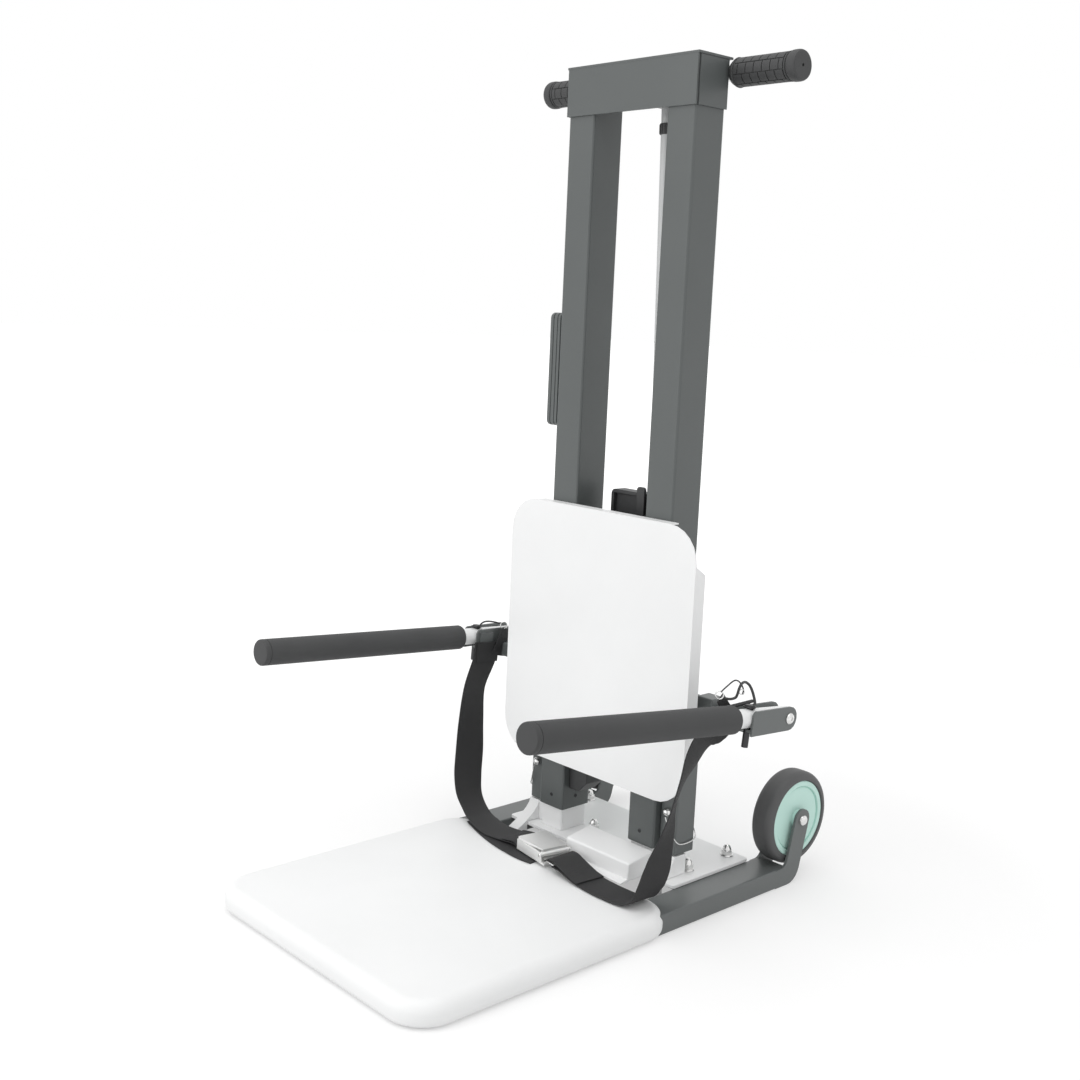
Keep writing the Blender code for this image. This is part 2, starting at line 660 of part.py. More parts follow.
def make_handlebar(steel, rubber):
    """One bar on blocks behind the posts, with a ribbed grip at each end."""
    reach = GRIP_INNER_X + GRIP_LENGTH - GRIP_END_WALL - SEAT
    bar = finish("handlebar", cylinder(BAR_RADIUS, frame_x(0, BAR_Y, BAR_Z), -reach, reach, 20), steel)
    for _, side in SIDES:
        combine(bar, box(side * POST_X - BAR_BLOCK_WIDTH / 2, side * POST_X + BAR_BLOCK_WIDTH / 2,
                         POST_REAR_Y + SEAT, BAR_Y, BAR_Z - BAR_BLOCK_HEIGHT / 2,
                         BAR_Z + BAR_BLOCK_HEIGHT / 2), "UNION")
    bore = BAR_RADIUS + SEAT
    flange_in = GRIP_FLANGE_LENGTH
    flange_out = GRIP_LENGTH - GRIP_FLANGE_LENGTH
    profile = [(0, GRIP_LENGTH - GRIP_END_WALL), (bore, GRIP_LENGTH - GRIP_END_WALL), (bore, 0),
               (GRIP_FLANGE, 0), (GRIP_FLANGE, flange_in), (GRIP_RADIUS, flange_in),
               (GRIP_RADIUS, flange_out), (GRIP_FLANGE, flange_out),
               (GRIP_FLANGE, GRIP_LENGTH - GRIP_END_WALL / 2),
               (GRIP_RADIUS, GRIP_LENGTH), (0, GRIP_LENGTH)]
    for side_name, side in SIDES:
        frame = frame_x(side * GRIP_INNER_X, BAR_Y, BAR_Z, side)
        finish(f"grip_{side_name}", lathe(profile, frame, 24), rubber)


def make_panel(white, dark):
    """Back panel: a sheet with round corners and folded edges, on two spacer bars."""
    top = PANEL_TOP_Z
    outline = rectangle(-PANEL_HALF_WIDTH, PANEL_HALF_WIDTH, PANEL_BOTTOM_Z, top, PANEL_CORNER, 6)
    panel = finish("back_panel", prism(outline, "Y", PANEL_FRONT_Y, PANEL_BACK_Y), white)
    front = PANEL_FRONT_Y + PANEL_SHEET / 2
    back = PANEL_FRONT_Y + PANEL_FLANGE
    low = PANEL_BOTTOM_Z + PANEL_CORNER
    high = top - PANEL_CORNER
    side_flange = [(front, low), (back, low + PANEL_FLANGE_CUT), (back, high - PANEL_FLANGE_CUT),
                   (front, high)]
    edge = PANEL_HALF_WIDTH - SEAT
    for _, side in SIDES:
        combine(panel, prism(side_flange, "X", *span(side, edge - PANEL_SHEET, edge)), "UNION")
    half = PANEL_HALF_WIDTH - PANEL_CORNER
    combine(panel, box(-half, half, front, PANEL_FRONT_Y + PANEL_TOP_FLANGE,
                       top - SEAT - PANEL_SHEET, top - SEAT), "UNION")
    reach = POST_OUTER_X - SPACER_INSET
    for name, z in (("panel_spacer_lower", SPACER_LOW_Z), ("panel_spacer_upper", SPACER_HIGH_Z)):
        finish(name, box(-reach, reach, PANEL_BACK_Y + SEAT, POST_FRONT_Y - SEAT,
                         z, z + SPACER_HEIGHT), dark)


def make_boxes(black, grey):
    """Control box on the left post, and the supply boxes and conduit between the posts."""
    outer = -POST_OUTER_X - SEAT
    control_y = POST_FRONT_Y + CONTROL_FRONT
    face = rectangle(control_y, control_y + CONTROL_WIDTH, CONTROL_BOTTOM_Z,
                     CONTROL_BOTTOM_Z + CONTROL_HEIGHT, CONTROL_CORNER)
    control = finish("control_box", prism(face, "X", outer - CONTROL_DEPTH, outer), black)
    bevel(control, CONTROL_EDGE)
    front = POST_FRONT_Y + BATTERY_FRONT
    low = BATTERY_TOP_Z - BATTERY_HEIGHT
    battery = finish("battery_box", box(-BATTERY_HALF_WIDTH, BATTERY_HALF_WIDTH,
                                        front, front + BATTERY_DEPTH, low, BATTERY_TOP_Z), black)
    ear = POST_GAP / 2 - SEAT
    combine(battery, box(-ear, ear, front + SEAT, POST_REAR_Y - SEAT, low + BATTERY_EAR,
                         low + 2 * BATTERY_EAR), "UNION")
    left = -POST_GAP / 2 + SEAT
    supply_front = POST_FRONT_Y + POWER_FRONT
    outline = [(left, POWER_BOTTOM_Z), (left + POWER_WIDTH - POWER_CUT, POWER_BOTTOM_Z),
               (left + POWER_WIDTH, POWER_BOTTOM_Z + POWER_CUT),
               (left + POWER_WIDTH, POWER_BOTTOM_Z + POWER_HEIGHT), (left, POWER_BOTTOM_Z + POWER_HEIGHT)]
    finish("supply_box", prism(outline, "Y", supply_front, supply_front + POWER_DEPTH), black)
    foot_z = BATTERY_TOP_Z + SEAT
    head_z = WEB_Z - SEAT
    foot = Vector((CONDUIT_FOOT_X, POST_FRONT_Y + CONDUIT_FOOT_Y, foot_z))
    head = Vector((CONDUIT_X, POST_FRONT_Y + CONDUIT_Y, head_z))
    frame = Matrix.Translation(foot) @ (head - foot).to_track_quat("Z", "Y").to_matrix().to_4x4()
    length = (head - foot).length
    bore = CONDUIT_RADIUS - CONDUIT_WALL
    finish("cable_conduit", lathe([(bore, 0), (CONDUIT_RADIUS, 0), (CONDUIT_RADIUS, length), (bore, length)],
                                  frame, 16, True), grey)
    gland_top = CROSSHEAD_BOTTOM_Z - GLAND_DROP - foot_z
    gland_foot = gland_top - GLAND_LENGTH
    sleeve = CONDUIT_RADIUS + SEAT
    finish("conduit_gland", lathe([(sleeve, gland_foot), (GLAND_RADIUS, gland_foot),
                                   (GLAND_RADIUS, gland_top), (sleeve, gland_top)], frame, 16, True), black)


def arm_frame(side_name, side):
    """Frame at the arm's pivot whose Z axis runs forward along the arm and Y axis points up from it."""
    tilt = ARM_TILT[side_name]
    forward = Vector((0, -cos(tilt), sin(tilt)))
    up = Vector((0, sin(tilt), cos(tilt)))
    across = up.cross(forward)
    turn = Matrix((across, up, forward)).transposed().to_4x4()
    return Matrix.Translation((side * ARM_X, POST_FRONT_Y + ARM_PIVOT, ARM_PIVOT_Z)) @ turn


def arm_outline(frame, corners, steps=4):
    """Outline in the arm's own (forward, up) plane, as world (Y, Z) points."""
    points = []
    for forward, up in rounded_outline(corners, steps):
        world = frame @ Vector((0, up, forward))
        points.append((world.y, world.z))
    return points


def make_arm_frame(side_name, side, dark):
    """Upright beside the post, cross tube, and the channel in which the arm lies."""
    x0, x1 = span(side, UPRIGHT_INNER_X, UPRIGHT_OUTER_X)
    upright = finish(f"arm_frame_{side_name}",
                     square_tube(x0, x1, UPRIGHT_FRONT_Y, UPRIGHT_REAR_Y, UPRIGHT_WALL, UPRIGHT_WALL, "Z",
                                 UPRIGHT_BOTTOM_Z, UPRIGHT_TOP_Z), dark)
    inner_side = ARM_X - CHANNEL_OUTSIDE
    tube = rectangle(UPRIGHT_REAR_Y - SEAT - CROSS_TUBE_DEPTH, UPRIGHT_REAR_Y - SEAT,
                     CROSS_TUBE_BOTTOM_Z, CROSS_TUBE_TOP_Z, UPRIGHT_WALL)
    tube_span = span(side, UPRIGHT_OUTER_X - UPRIGHT_WALL / 2, inner_side + CHANNEL_SIDE / 2)
    combine(upright, prism(tube, "X", *tube_span), "UNION")
    frame = arm_frame(side_name, side)
    nose = CHANNEL_NOSE
    nose_round = nose - SEAT
    plate = arm_outline(frame, [(CHANNEL_FRONT, -CHANNEL_DROP, 0),
                                (CHANNEL_FRONT, CHANNEL_RISE, CHANNEL_RISE / 2), (0, nose, 0),
                                (-nose, nose, nose_round), (-nose, -nose, nose_round)])
    for start in (inner_side, ARM_X + CHANNEL_INSIDE):
        combine(upright, prism(plate, "X", *span(side, start, start + CHANNEL_SIDE)), "UNION")
    web_low = CHANNEL_SIDE + CHANNEL_INSIDE - SEAT
    web_front = CHANNEL_FRONT - SEAT
    web = arm_outline(frame, [(CHANNEL_WEB_START, -web_low, 0), (web_front, -web_low, 0),
                              (web_front, -CHANNEL_INSIDE, 0), (CHANNEL_WEB_START, -CHANNEL_INSIDE, 0)])
    combine(upright, prism(web, "X", *span(side, inner_side + CHANNEL_SIDE / 2, ARM_X + CHANNEL_INSIDE
                                           + CHANNEL_SIDE / 2)), "UNION")
    pad_front = BELT_PAD_BACK + BELT_PAD_LENGTH
    pad_top = BELT_PAD_HEIGHT - BELT_PAD_LOW
    pad = arm_outline(frame, [(BELT_PAD_BACK, -BELT_PAD_LOW, 0), (pad_front, -BELT_PAD_LOW, 0),
                              (pad_front, pad_top, 0), (BELT_PAD_BACK, pad_top, 0)])
    pad_span = span(side, inner_side - BELT_PAD, inner_side + CHANNEL_SIDE / 2)
    combine(upright, prism(pad, "X", *pad_span), "UNION")
    half = LOCK_PIN_RADIUS + LOCK_NOTCH_GAP
    notch_back = LOCK_PIN_AT - half
    notch_front = CHANNEL_FRONT + CHANNEL_SIDE
    notch = arm_outline(frame, [(notch_back, -CHANNEL_DROP, 0), (notch_front, -CHANNEL_DROP, 0),
                                (notch_front, 0, 0), (notch_back, 0, 0)])
    combine(upright, prism(notch, "X", *span(side, ARM_X - half, ARM_X + half)), "DIFFERENCE")
    pivot = frame_x(side * ARM_X, POST_FRONT_Y + ARM_PIVOT, ARM_PIVOT_Z, side)
    reach = CHANNEL_OUTSIDE + CHANNEL_INSIDE
    combine(upright, cylinder(PIVOT_RADIUS + PIN_GAP, pivot, -reach, reach), "DIFFERENCE")
    pin_hole = cylinder(MAST_PIN_RADIUS + PIN_GAP, frame_y(side * MAST_PIN_X, UPRIGHT_REAR_Y, MAST_PIN_Z),
                        -UPRIGHT_DEPTH, 2 * UPRIGHT_DEPTH)
    combine(upright, pin_hole, "DIFFERENCE")


def make_arm(side_name, side, white, foam, bright, dark_steel):
    """Arm tube with a foam sleeve, its pivot bolt and the pin that locks it down."""
    frame = arm_frame(side_name, side)
    origin = frame.translation
    inside = TUBE_RADIUS - TUBE_WALL
    tube_end = ARM_REACH - FOAM_CAP - SEAT
    tube = finish(f"arm_tube_{side_name}",
                  lathe([(inside, -TUBE_TAIL), (TUBE_RADIUS, -TUBE_TAIL), (TUBE_RADIUS, tube_end),
                         (inside, tube_end)], frame, 24, True), white, origin)
    pivot = frame_x(*origin, side)
    combine(tube, cylinder(PIVOT_RADIUS + PIN_GAP, pivot, -2 * TUBE_RADIUS, 2 * TUBE_RADIUS), "DIFFERENCE")
    lock = frame @ Matrix.Translation((0, 0, LOCK_PIN_AT)) @ Matrix.Rotation(-pi / 2, 4, "X")
    combine(tube, cylinder(LOCK_PIN_RADIUS + PIN_GAP, lock, -2 * TUBE_RADIUS, 2 * TUBE_RADIUS), "DIFFERENCE")
    bore = TUBE_RADIUS + SEAT
    sleeve = [(0, tube_end + SEAT), (bore, tube_end + SEAT), (bore, FOAM_START),
              (FOAM_RADIUS - FOAM_EDGE, FOAM_START), (FOAM_RADIUS, FOAM_START + FOAM_EDGE),
              (FOAM_RADIUS, ARM_REACH - FOAM_EDGE),
              (FOAM_RADIUS - FOAM_EDGE, ARM_REACH), (0, ARM_REACH)]
    finish(f"arm_foam_{side_name}", lathe(sleeve, frame, 28), foam, origin)
    face = CHANNEL_OUTSIDE + SEAT
    bolt = [(PIVOT_HEAD_RADIUS * HEAD_CROWN, face + PIVOT_HEAD),
            (PIVOT_HEAD_RADIUS, face + PIVOT_HEAD * HEAD_CROWN),
            (PIVOT_HEAD_RADIUS, face), (PIVOT_RADIUS, face), (PIVOT_RADIUS, -face),
            (PIVOT_HEAD_RADIUS, -face), (PIVOT_HEAD_RADIUS, -face - PIVOT_NUT)]
    finish(f"arm_pivot_bolt_{side_name}", lathe(bolt, pivot, 16), bright)
    head = TUBE_RADIUS + SEAT
    pin = [(LOCK_HEAD_RADIUS * HEAD_CROWN, head + LOCK_HEAD),
           (LOCK_HEAD_RADIUS, head + LOCK_HEAD * HEAD_CROWN),
           (LOCK_HEAD_RADIUS, head), (LOCK_PIN_RADIUS, head),
           (LOCK_PIN_RADIUS, -CHANNEL_DROP - LOCK_PIN_BELOW)]
    finish(f"arm_lock_pin_{side_name}", lathe(pin, lock, 14), dark_steel, lock.translation)


def make_mast_pin(side_name, side, bright):
    """Round-headed pull pin through the upright."""
    origin = (side * MAST_PIN_X, UPRIGHT_FRONT_Y - SEAT, MAST_PIN_Z)
    pin = [(MAST_HEAD_RADIUS * HEAD_CROWN, MAST_HEAD), (MAST_HEAD_RADIUS, MAST_HEAD * HEAD_CROWN),
           (MAST_HEAD_RADIUS, 0),
           (MAST_PIN_RADIUS, 0), (MAST_PIN_RADIUS, -UPRIGHT_DEPTH - MAST_PIN_TAIL)]
    finish(f"mast_pin_{side_name}", lathe(pin, frame_y(*origin), 16), bright, origin)


def smooth_route(points, steps):
    """Points of a smooth curve through the given points."""
    route = []
    padded = [points[0] * 2 - points[1], *points, points[-1] * 2 - points[-2]]
    for p0, p1, p2, p3 in zip(padded, padded[1:], padded[2:], padded[3:]):
        for k in range(steps):
            t = k / steps
            route.append(0.5 * (2 * p1 + (p2 - p0) * t + (2 * p0 - 5 * p1 + 4 * p2 - p3) * t ** 2
                                + (3 * p1 - p0 - 3 * p2 + p3) * t ** 3))
    route.append(points[-1])
    return route


def make_belt(name, points, look):
    """Flat webbing along its route, its width turned from Y about the run by each point's last value."""
    bm = bmesh.new()
    points = [Vector(point) for point in points]
    route = smooth_route(points, BELT_STEPS)
    runs = [points[1] - points[0], *(b - a for a, b in zip(route, route[2:])), points[-1] - points[-2]]
    rings = []
    for (*place, turn), run in zip(route, runs):
        place = Vector(place)
        along = run.to_3d().normalized()
        wide = (Vector((0, 1, 0)) - along * along.y).normalized() * BELT_WIDTH / 2
        wide = Matrix.Rotation(radians(turn), 3, along) @ wide
        thick = along.cross(wide).normalized() * BELT_THICKNESS / 2
        rings.append([bm.verts.new(place + a * wide + b * thick)
                      for a, b in ((-1, -1), (1, -1), (1, 1), (-1, 1))])
    for first, second in zip(rings, rings[1:]):
        bridge(bm, first, second)
    bm.faces.new(rings[0])
    bm.faces.new(rings[-1])
    finish(name, bm, look)


def belt_routes():
    """Middle lines of the two webbing halves, from each arm channel down to the buckle."""
    lie = BELT_FLOOR_Z + BELT_THICKNESS / 2
    frame = buckle_frame()
    body_end = -BUCKLE_LENGTH / 2 - SEAT
    tongue_end = BUCKLE_LENGTH / 2 + TONGUE_OUTSIDE + SEAT
    tongue_z = BUCKLE_FLOOR + TONGUE_RISE + TONGUE_THICKNESS / 2
    y = POST_FRONT_Y
    hang = BELT_HANG_X
    left = [(-hang, y + 0.001, 0.286, 0), (-hang, y - 0.003, 0.262, -3), (-0.2518, y - 0.0215, 0.2175, -8),
            (-0.2486, y - 0.0290, 0.1646, 2), (-0.2443, y - 0.0336, 0.1206, 10),
            (-0.2357, y - 0.0425, 0.0843, 7), (-0.2200, y - 0.0515, 0.0590, -4),
            (-0.1901, y - 0.0610, 0.0430, -9), (-0.1530, y - 0.0730, lie + 0.0034, -4),
            (-0.1210, y - 0.0785, lie + 0.0026, 0), (-0.0920, y - 0.0765, lie + 0.0036, 0),
            (*(frame @ Vector((body_end - BELT_STRAIGHT, 0, BELT_THICKNESS))), 0),
            (*(frame @ Vector((body_end, 0, BELT_THICKNESS))), 0)]
    right = [(*(frame @ Vector((tongue_end, 0, tongue_z))), 0),
             (*(frame @ Vector((tongue_end + BELT_STRAIGHT, 0, tongue_z))), 0),
             (0.0770, y - 0.0950, lie + 0.003, 0), (0.0970, y - 0.0964, lie + 0.001, 0),
             (0.1180, y - 0.0982, lie + 0.001, 0), (0.1380, y - 0.0984, lie + 0.001, 0),
             (0.1575, y - 0.0972, lie + 0.001, 0), (0.1745, y - 0.0950, lie + 0.003, -2),
             (0.1880, y - 0.0925, 0.0455, -2), (0.1950, y - 0.0885, 0.0630, -4),
             (0.1964, y - 0.0785, 0.0825, -3), (0.1966, y - 0.0712, 0.1055, 6),
             (0.1998, y - 0.0667, 0.1312, 18), (0.2036, y - 0.0637, 0.1622, 30),
             (0.2137, y - 0.0632, 0.1951, 29), (0.2275, y - 0.0630, 0.2270, 18),
             (0.2375, y - 0.0635, 0.2520, 8), (0.2443, y - 0.0600, 0.2680, 0),
             (0.2486, y - 0.0520, 0.2780, -6), (0.2506, y - 0.0415, 0.2860, -8),
             (hang, y - 0.0300, 0.2940, -6)]
    return left, right


def buckle_frame():
    """Frame at the middle of the buckle's underside, with X running along the belt to the right."""
    return Matrix.Translation((BUCKLE_X, BUCKLE_Y, BUCKLE_Z)) @ Matrix.Rotation(BUCKLE_TURN, 4, "Z")


def placed(bm, frame):
    bmesh.ops.transform(bm, matrix=frame, verts=bm.verts)
    return bm


def make_buckle(bright, silver):
    """Lift-lever buckle: a channel body, a hinged lever and the tongue of the other half."""
    frame = buckle_frame()
    left = -BUCKLE_LENGTH / 2
    right = BUCKLE_LENGTH / 2
    half = BUCKLE_WIDTH / 2
    side_top = BUCKLE_FLOOR + BUCKLE_SIDE_RISE
    axis = Vector((LEVER_AXIS_AT, 0, BUCKLE_FLOOR + LEVER_AXIS_RISE))
    across = frame_y(*axis)
    nose = BUCKLE_SIDE_RISE - LEVER_AXIS_RISE
    body = finish("buckle_body", placed(box(left, right, -half, half, 0, BUCKLE_FLOOR), frame), bright)
    cheek = rounded_outline([(left + SEAT, SEAT, 0), (axis.x + nose, SEAT, 0),
                             (axis.x + nose, side_top, nose - SEAT), (left + SEAT, side_top, 0)])
    outside = half - SEAT
    inside = outside - BUCKLE_SIDE
    for side in (1.0, -1.0):
        combine(body, placed(prism(cheek, "Y", *span(side, inside, outside)), frame), "UNION")
    hole = cylinder(LEVER_PIN_RADIUS + PIN_GAP, across, -BUCKLE_WIDTH, BUCKLE_WIDTH, 12)
    combine(body, placed(hole, frame), "DIFFERENCE")
    lid_low = side_top + SEAT
    lid_top = lid_low + LEVER_THICKNESS
    lid = rounded_outline([(left, -half, LEVER_CORNER), (axis.x, -half, 0), (axis.x, half, 0),
                           (left, half, LEVER_CORNER)])
    lever = finish("buckle_lever", placed(prism(lid, "Z", lid_low, lid_top), frame), silver, frame @ axis)
    inner = inside - SEAT
    barrel = [(LEVER_PIN_RADIUS, -half), (LEVER_PIN_RADIUS, -inner), (LEVER_BARREL_RADIUS, -inner),
              (LEVER_BARREL_RADIUS, inner), (LEVER_PIN_RADIUS, inner), (LEVER_PIN_RADIUS, half)]
    combine(lever, placed(lathe(barrel, across, 12), frame), "UNION")
    neck = box(axis.x - LEVER_NECK, axis.x - SEAT, SEAT - inner, inner - SEAT, axis.z, lid_top - SEAT)
    combine(lever, placed(neck, frame), "UNION")
    tongue_low = BUCKLE_FLOOR + TONGUE_RISE
    tongue = box(right - TONGUE_INSIDE, right + TONGUE_OUTSIDE, -TONGUE_WIDTH / 2, TONGUE_WIDTH / 2,
                 tongue_low, tongue_low + TONGUE_THICKNESS)
    finish("buckle_tongue", placed(tongue, frame), silver)


def build():
    clear_scene()
    dark = material("Dark grey paint", (0.145, 0.160, 0.160), 0.45)
    white = material("White paint", (0.86, 0.86, 0.86), 0.40)
    tray = material("White tray", (0.88, 0.88, 0.88), 0.45)
    foam = material("Black foam", (0.055, 0.055, 0.056), 0.85)
    rubber = material("Grip rubber", (0.060, 0.060, 0.062), 0.70)
    tyre = material("Grey tyre", (0.085, 0.085, 0.087), 0.65)
    mint = material("Mint plastic", (0.45, 0.70, 0.61), 0.40)
    webbing = material("Black webbing", (0.040, 0.040, 0.042), 0.80)
    bright = material("Bright steel", (0.70, 0.70, 0.70), 0.25, 1.0)
    silver = material("Brushed steel", (0.62, 0.62, 0.62), 0.35, 1.0)
    dark_steel = material("Blackened steel", (0.050, 0.050, 0.052), 0.40, 1.0)
    black = material("Black plastic", (0.030, 0.030, 0.032), 0.50)
    grey = material("Grey conduit", (0.62, 0.63, 0.63), 0.45)
    for side_name, side in SIDES:
        make_rail(f"rail_{side_name}", side, dark)
        make_wheel(side_name, side, tyre, mint, bright)
        make_inner_post(f"inner_post_{side_name}", side, white)
        make_arm_frame(side_name, side, dark)
        make_arm(side_name, side, white, foam, bright, dark_steel)
        make_mast_pin(side_name, side, bright)
    make_base(dark, white, bright)
    make_platform(tray)
    make_drive_cover(white)
    make_mast(dark)
    make_handlebar(bright, rubber)
    make_panel(white, dark)
    make_boxes(black, grey)
    left_route, right_route = belt_routes()
    make_belt("belt_left", left_route, webbing)
    make_belt("belt_right", right_route, webbing)
    make_buckle(bright, silver)


build()
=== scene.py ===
"""Looks of the sit-to-stand lift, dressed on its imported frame: metres, +Z up, the user's side at -Y."""
from math import cos, pi, radians, sin

import bmesh
import bpy
from mathutils import Matrix, Vector


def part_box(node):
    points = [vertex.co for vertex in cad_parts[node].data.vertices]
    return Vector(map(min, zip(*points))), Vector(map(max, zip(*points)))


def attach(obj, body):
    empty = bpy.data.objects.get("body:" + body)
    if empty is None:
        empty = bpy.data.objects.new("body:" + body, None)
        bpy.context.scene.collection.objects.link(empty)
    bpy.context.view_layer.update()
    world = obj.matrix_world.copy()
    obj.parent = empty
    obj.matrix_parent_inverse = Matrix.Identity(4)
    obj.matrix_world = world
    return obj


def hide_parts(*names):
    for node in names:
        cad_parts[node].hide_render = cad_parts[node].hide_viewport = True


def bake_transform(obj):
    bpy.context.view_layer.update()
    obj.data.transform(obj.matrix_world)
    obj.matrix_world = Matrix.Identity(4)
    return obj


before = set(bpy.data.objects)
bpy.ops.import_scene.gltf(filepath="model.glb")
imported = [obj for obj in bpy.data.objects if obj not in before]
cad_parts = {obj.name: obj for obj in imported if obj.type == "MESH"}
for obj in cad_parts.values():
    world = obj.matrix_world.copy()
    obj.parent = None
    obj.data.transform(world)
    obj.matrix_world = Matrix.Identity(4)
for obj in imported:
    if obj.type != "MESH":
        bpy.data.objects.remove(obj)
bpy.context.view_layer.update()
scene = bpy.context.scene
scene.view_settings.view_transform = "Standard"


# Studio: a wide pale floor in an even white surround, soft lamps overhead, before and beside the machine,
# and the camera where the photograph was taken.
def wire(tree, kind, feeds, **settings):
    """A node whose inputs take the given values or links."""
    made = tree.nodes.new(kind)
    for key, value in settings.items():
        setattr(made, key, value)
    for key, value in feeds.items():
        if isinstance(value, bpy.types.NodeSocket):
            tree.links.new(value, made.inputs[key])
        else:
            made.inputs[key].default_value = value
    return made


def show(name, mesh):
    made = bpy.data.objects.new(name, mesh)
    scene.collection.objects.link(made)
    return made


def seen_directly(tree):
    """1 where the eye, a mirror or glass looks straight at the surface, 0 where it only lights others."""
    path = wire(tree, "ShaderNodeLightPath", {})
    seen = path.outputs["Is Camera Ray"]
    for ray in ("Is Glossy Ray", "Is Transmission Ray"):
        seen = wire(tree, "ShaderNodeMath", {0: seen, 1: path.outputs[ray]}, operation="MAXIMUM").outputs[0]
    return seen


floor_mesh = bpy.data.meshes.new("floor")
floor_mesh.from_pydata([(-30, -30, -0.0004), (30, -30, -0.0004), (30, 30, -0.0004), (-30, 30, -0.0004)], [],
                       [(0, 1, 2, 3)])
floor_look = bpy.data.materials.new("Pale floor")
floor_look.use_nodes = True
tree = floor_look.node_tree
shader = tree.nodes["Principled BSDF"]
shader.inputs["Base Color"].default_value = (0.80, 0.80, 0.80, 1)
shader.inputs["Roughness"].default_value = 0.75
shader.inputs["Specular IOR Level"].default_value = 0.1
spot = wire(tree, "ShaderNodeTexCoord", {}).outputs["Object"]
away = wire(tree, "ShaderNodeVectorMath", {0: spot}, operation="LENGTH").outputs["Value"]
fade = wire(tree, "ShaderNodeMapRange", {"Value": away, "From Min": 0.7, "From Max": 2.2, "To Min": 0.30, "To Max": 0.80})
share = wire(tree, "ShaderNodeMath", {0: seen_directly(tree), 1: fade.outputs[0]}, operation="MULTIPLY")
glow = wire(tree, "ShaderNodeEmission", {"Color": (1, 1, 1, 1), "Strength": 1.45})
mixed = wire(tree, "ShaderNodeMixShader", {0: share.outputs[0], 1: shader.outputs[0], 2: glow.outputs[0]})
tree.links.new(mixed.outputs[0], tree.nodes["Material Output"].inputs["Surface"])
floor_mesh.materials.append(floor_look)
show("floor", floor_mesh)

world = bpy.data.worlds.new("White surround")
world.use_nodes = True
scene.world = world
tree = world.node_tree
level = wire(tree, "ShaderNodeMapRange", {"Value": seen_directly(tree), "To Min": 0.80, "To Max": 1.0})
tree.links.new(level.outputs[0], tree.nodes["Background"].inputs["Strength"])
tree.nodes["Background"].inputs["Color"].default_value = (1, 1, 1, 1)

for name, place, size, power in (("overhead lamp", (0.2, -0.6, 3.4), 3.0, 32.0),
                                 ("front lamp", (-1.6, -3.2, 2.4), 2.6, 20.0),
                                 ("low lamp", (-0.6, -2.6, 0.5), 1.6, 8.0),
                                 ("side lamp", (3.4, -0.3, 1.9), 2.4, 3.0)):
    lamp = bpy.data.lights.new(name, "AREA")
    lamp.size = size
    lamp.energy = power
    holder = bpy.data.objects.new(name, lamp)
    scene.collection.objects.link(holder)
    holder.location = place
    holder.rotation_euler = (Vector((0, 0, 0.4)) - Vector(place)).to_track_quat("-Z", "Y").to_euler()

azimuth, pitch, roll = radians(46.958), radians(9.477), radians(2.460)
look_along = Vector((-sin(azimuth) * cos(pitch), cos(azimuth) * cos(pitch), -sin(pitch)))
level_right = Vector((cos(azimuth), sin(azimuth), 0))
level_up = level_right.cross(look_along)
view_right = level_right * cos(roll) + level_up * sin(roll)
view_up = level_up * cos(roll) - level_right * sin(roll)
lens = bpy.data.cameras.new("camera")
lens.lens = 45.60
lens.sensor_width = 36.0
lens.clip_end = 100.0
camera = bpy.data.objects.new("camera", lens)
scene.collection.objects.link(camera)
camera.matrix_world = (Matrix.Translation((1.3216, -1.2567, 0.7995))
                       @ Matrix((view_right, view_up, -look_along)).transposed().to_4x4())
scene.camera = camera


# Rails: two box tubes of dark powder-coated steel on the floor, each with a pair of bent arms welded on
# behind for its wheel, and two cross bars between them. The coat rounds every edge and runs over the welds.
def effect(name, inputs, outputs):
    """A shader group with named sockets, its input sockets and its output node's inputs."""
    made = bpy.data.node_groups.new(name, "ShaderNodeTree")
    for label, value in inputs:
        kind = "NodeSocketColor" if isinstance(value, tuple) else "NodeSocketFloat"
        made.interface.new_socket(label, in_out="INPUT", socket_type=kind).default_value = value
    for label, kind in outputs:
        made.interface.new_socket(label, in_out="OUTPUT", socket_type=kind)
    return made, made.nodes.new("NodeGroupInput").outputs, made.nodes.new("NodeGroupOutput").inputs


SKIN = [("Colour", "NodeSocketColor"), ("Roughness", "NodeSocketFloat"), ("Height", "NodeSocketFloat")]
coat_grain, given, out = effect(
    "Coat grain", [("Colour", (0.5, 0.5, 0.5, 1)), ("Shade", (0.4, 0.4, 0.4, 1)), ("Roughness", 0.45),
                   ("Spread", 0.1), ("Grain scale", 900.0), ("Drift scale", 9.0)], SKIN)
place = wire(coat_grain, "ShaderNodeTexCoord", {}).outputs["Object"]
fine = wire(coat_grain, "ShaderNodeTexNoise", {"Vector": place, "Scale": given["Grain scale"], "Detail": 3.0})
broad = wire(coat_grain, "ShaderNodeTexNoise", {"Vector": place, "Scale": given["Drift scale"], "Detail": 5.0,
                                                "Roughness": 0.6})
drift = wire(coat_grain, "ShaderNodeMapRange", {"Value": broad.outputs[0], "From Min": 0.35, "From Max": 0.70})
tint = wire(coat_grain, "ShaderNodeMix", {0: drift.outputs[0], 6: given["Colour"], 7: given["Shade"]},
            data_type="RGBA")
vary = wire(coat_grain, "ShaderNodeMath", {0: fine.outputs[0], 1: broad.outputs[0]}, operation="MULTIPLY")
vary = wire(coat_grain, "ShaderNodeMath", {0: vary.outputs[0], 1: given["Spread"], 2: given["Roughness"]},
            operation="MULTIPLY_ADD")
coat_grain.links.new(tint.outputs[2], out["Colour"])
coat_grain.links.new(vary.outputs[0], out["Roughness"])
coat_grain.links.new(fine.outputs[0], out["Height"])


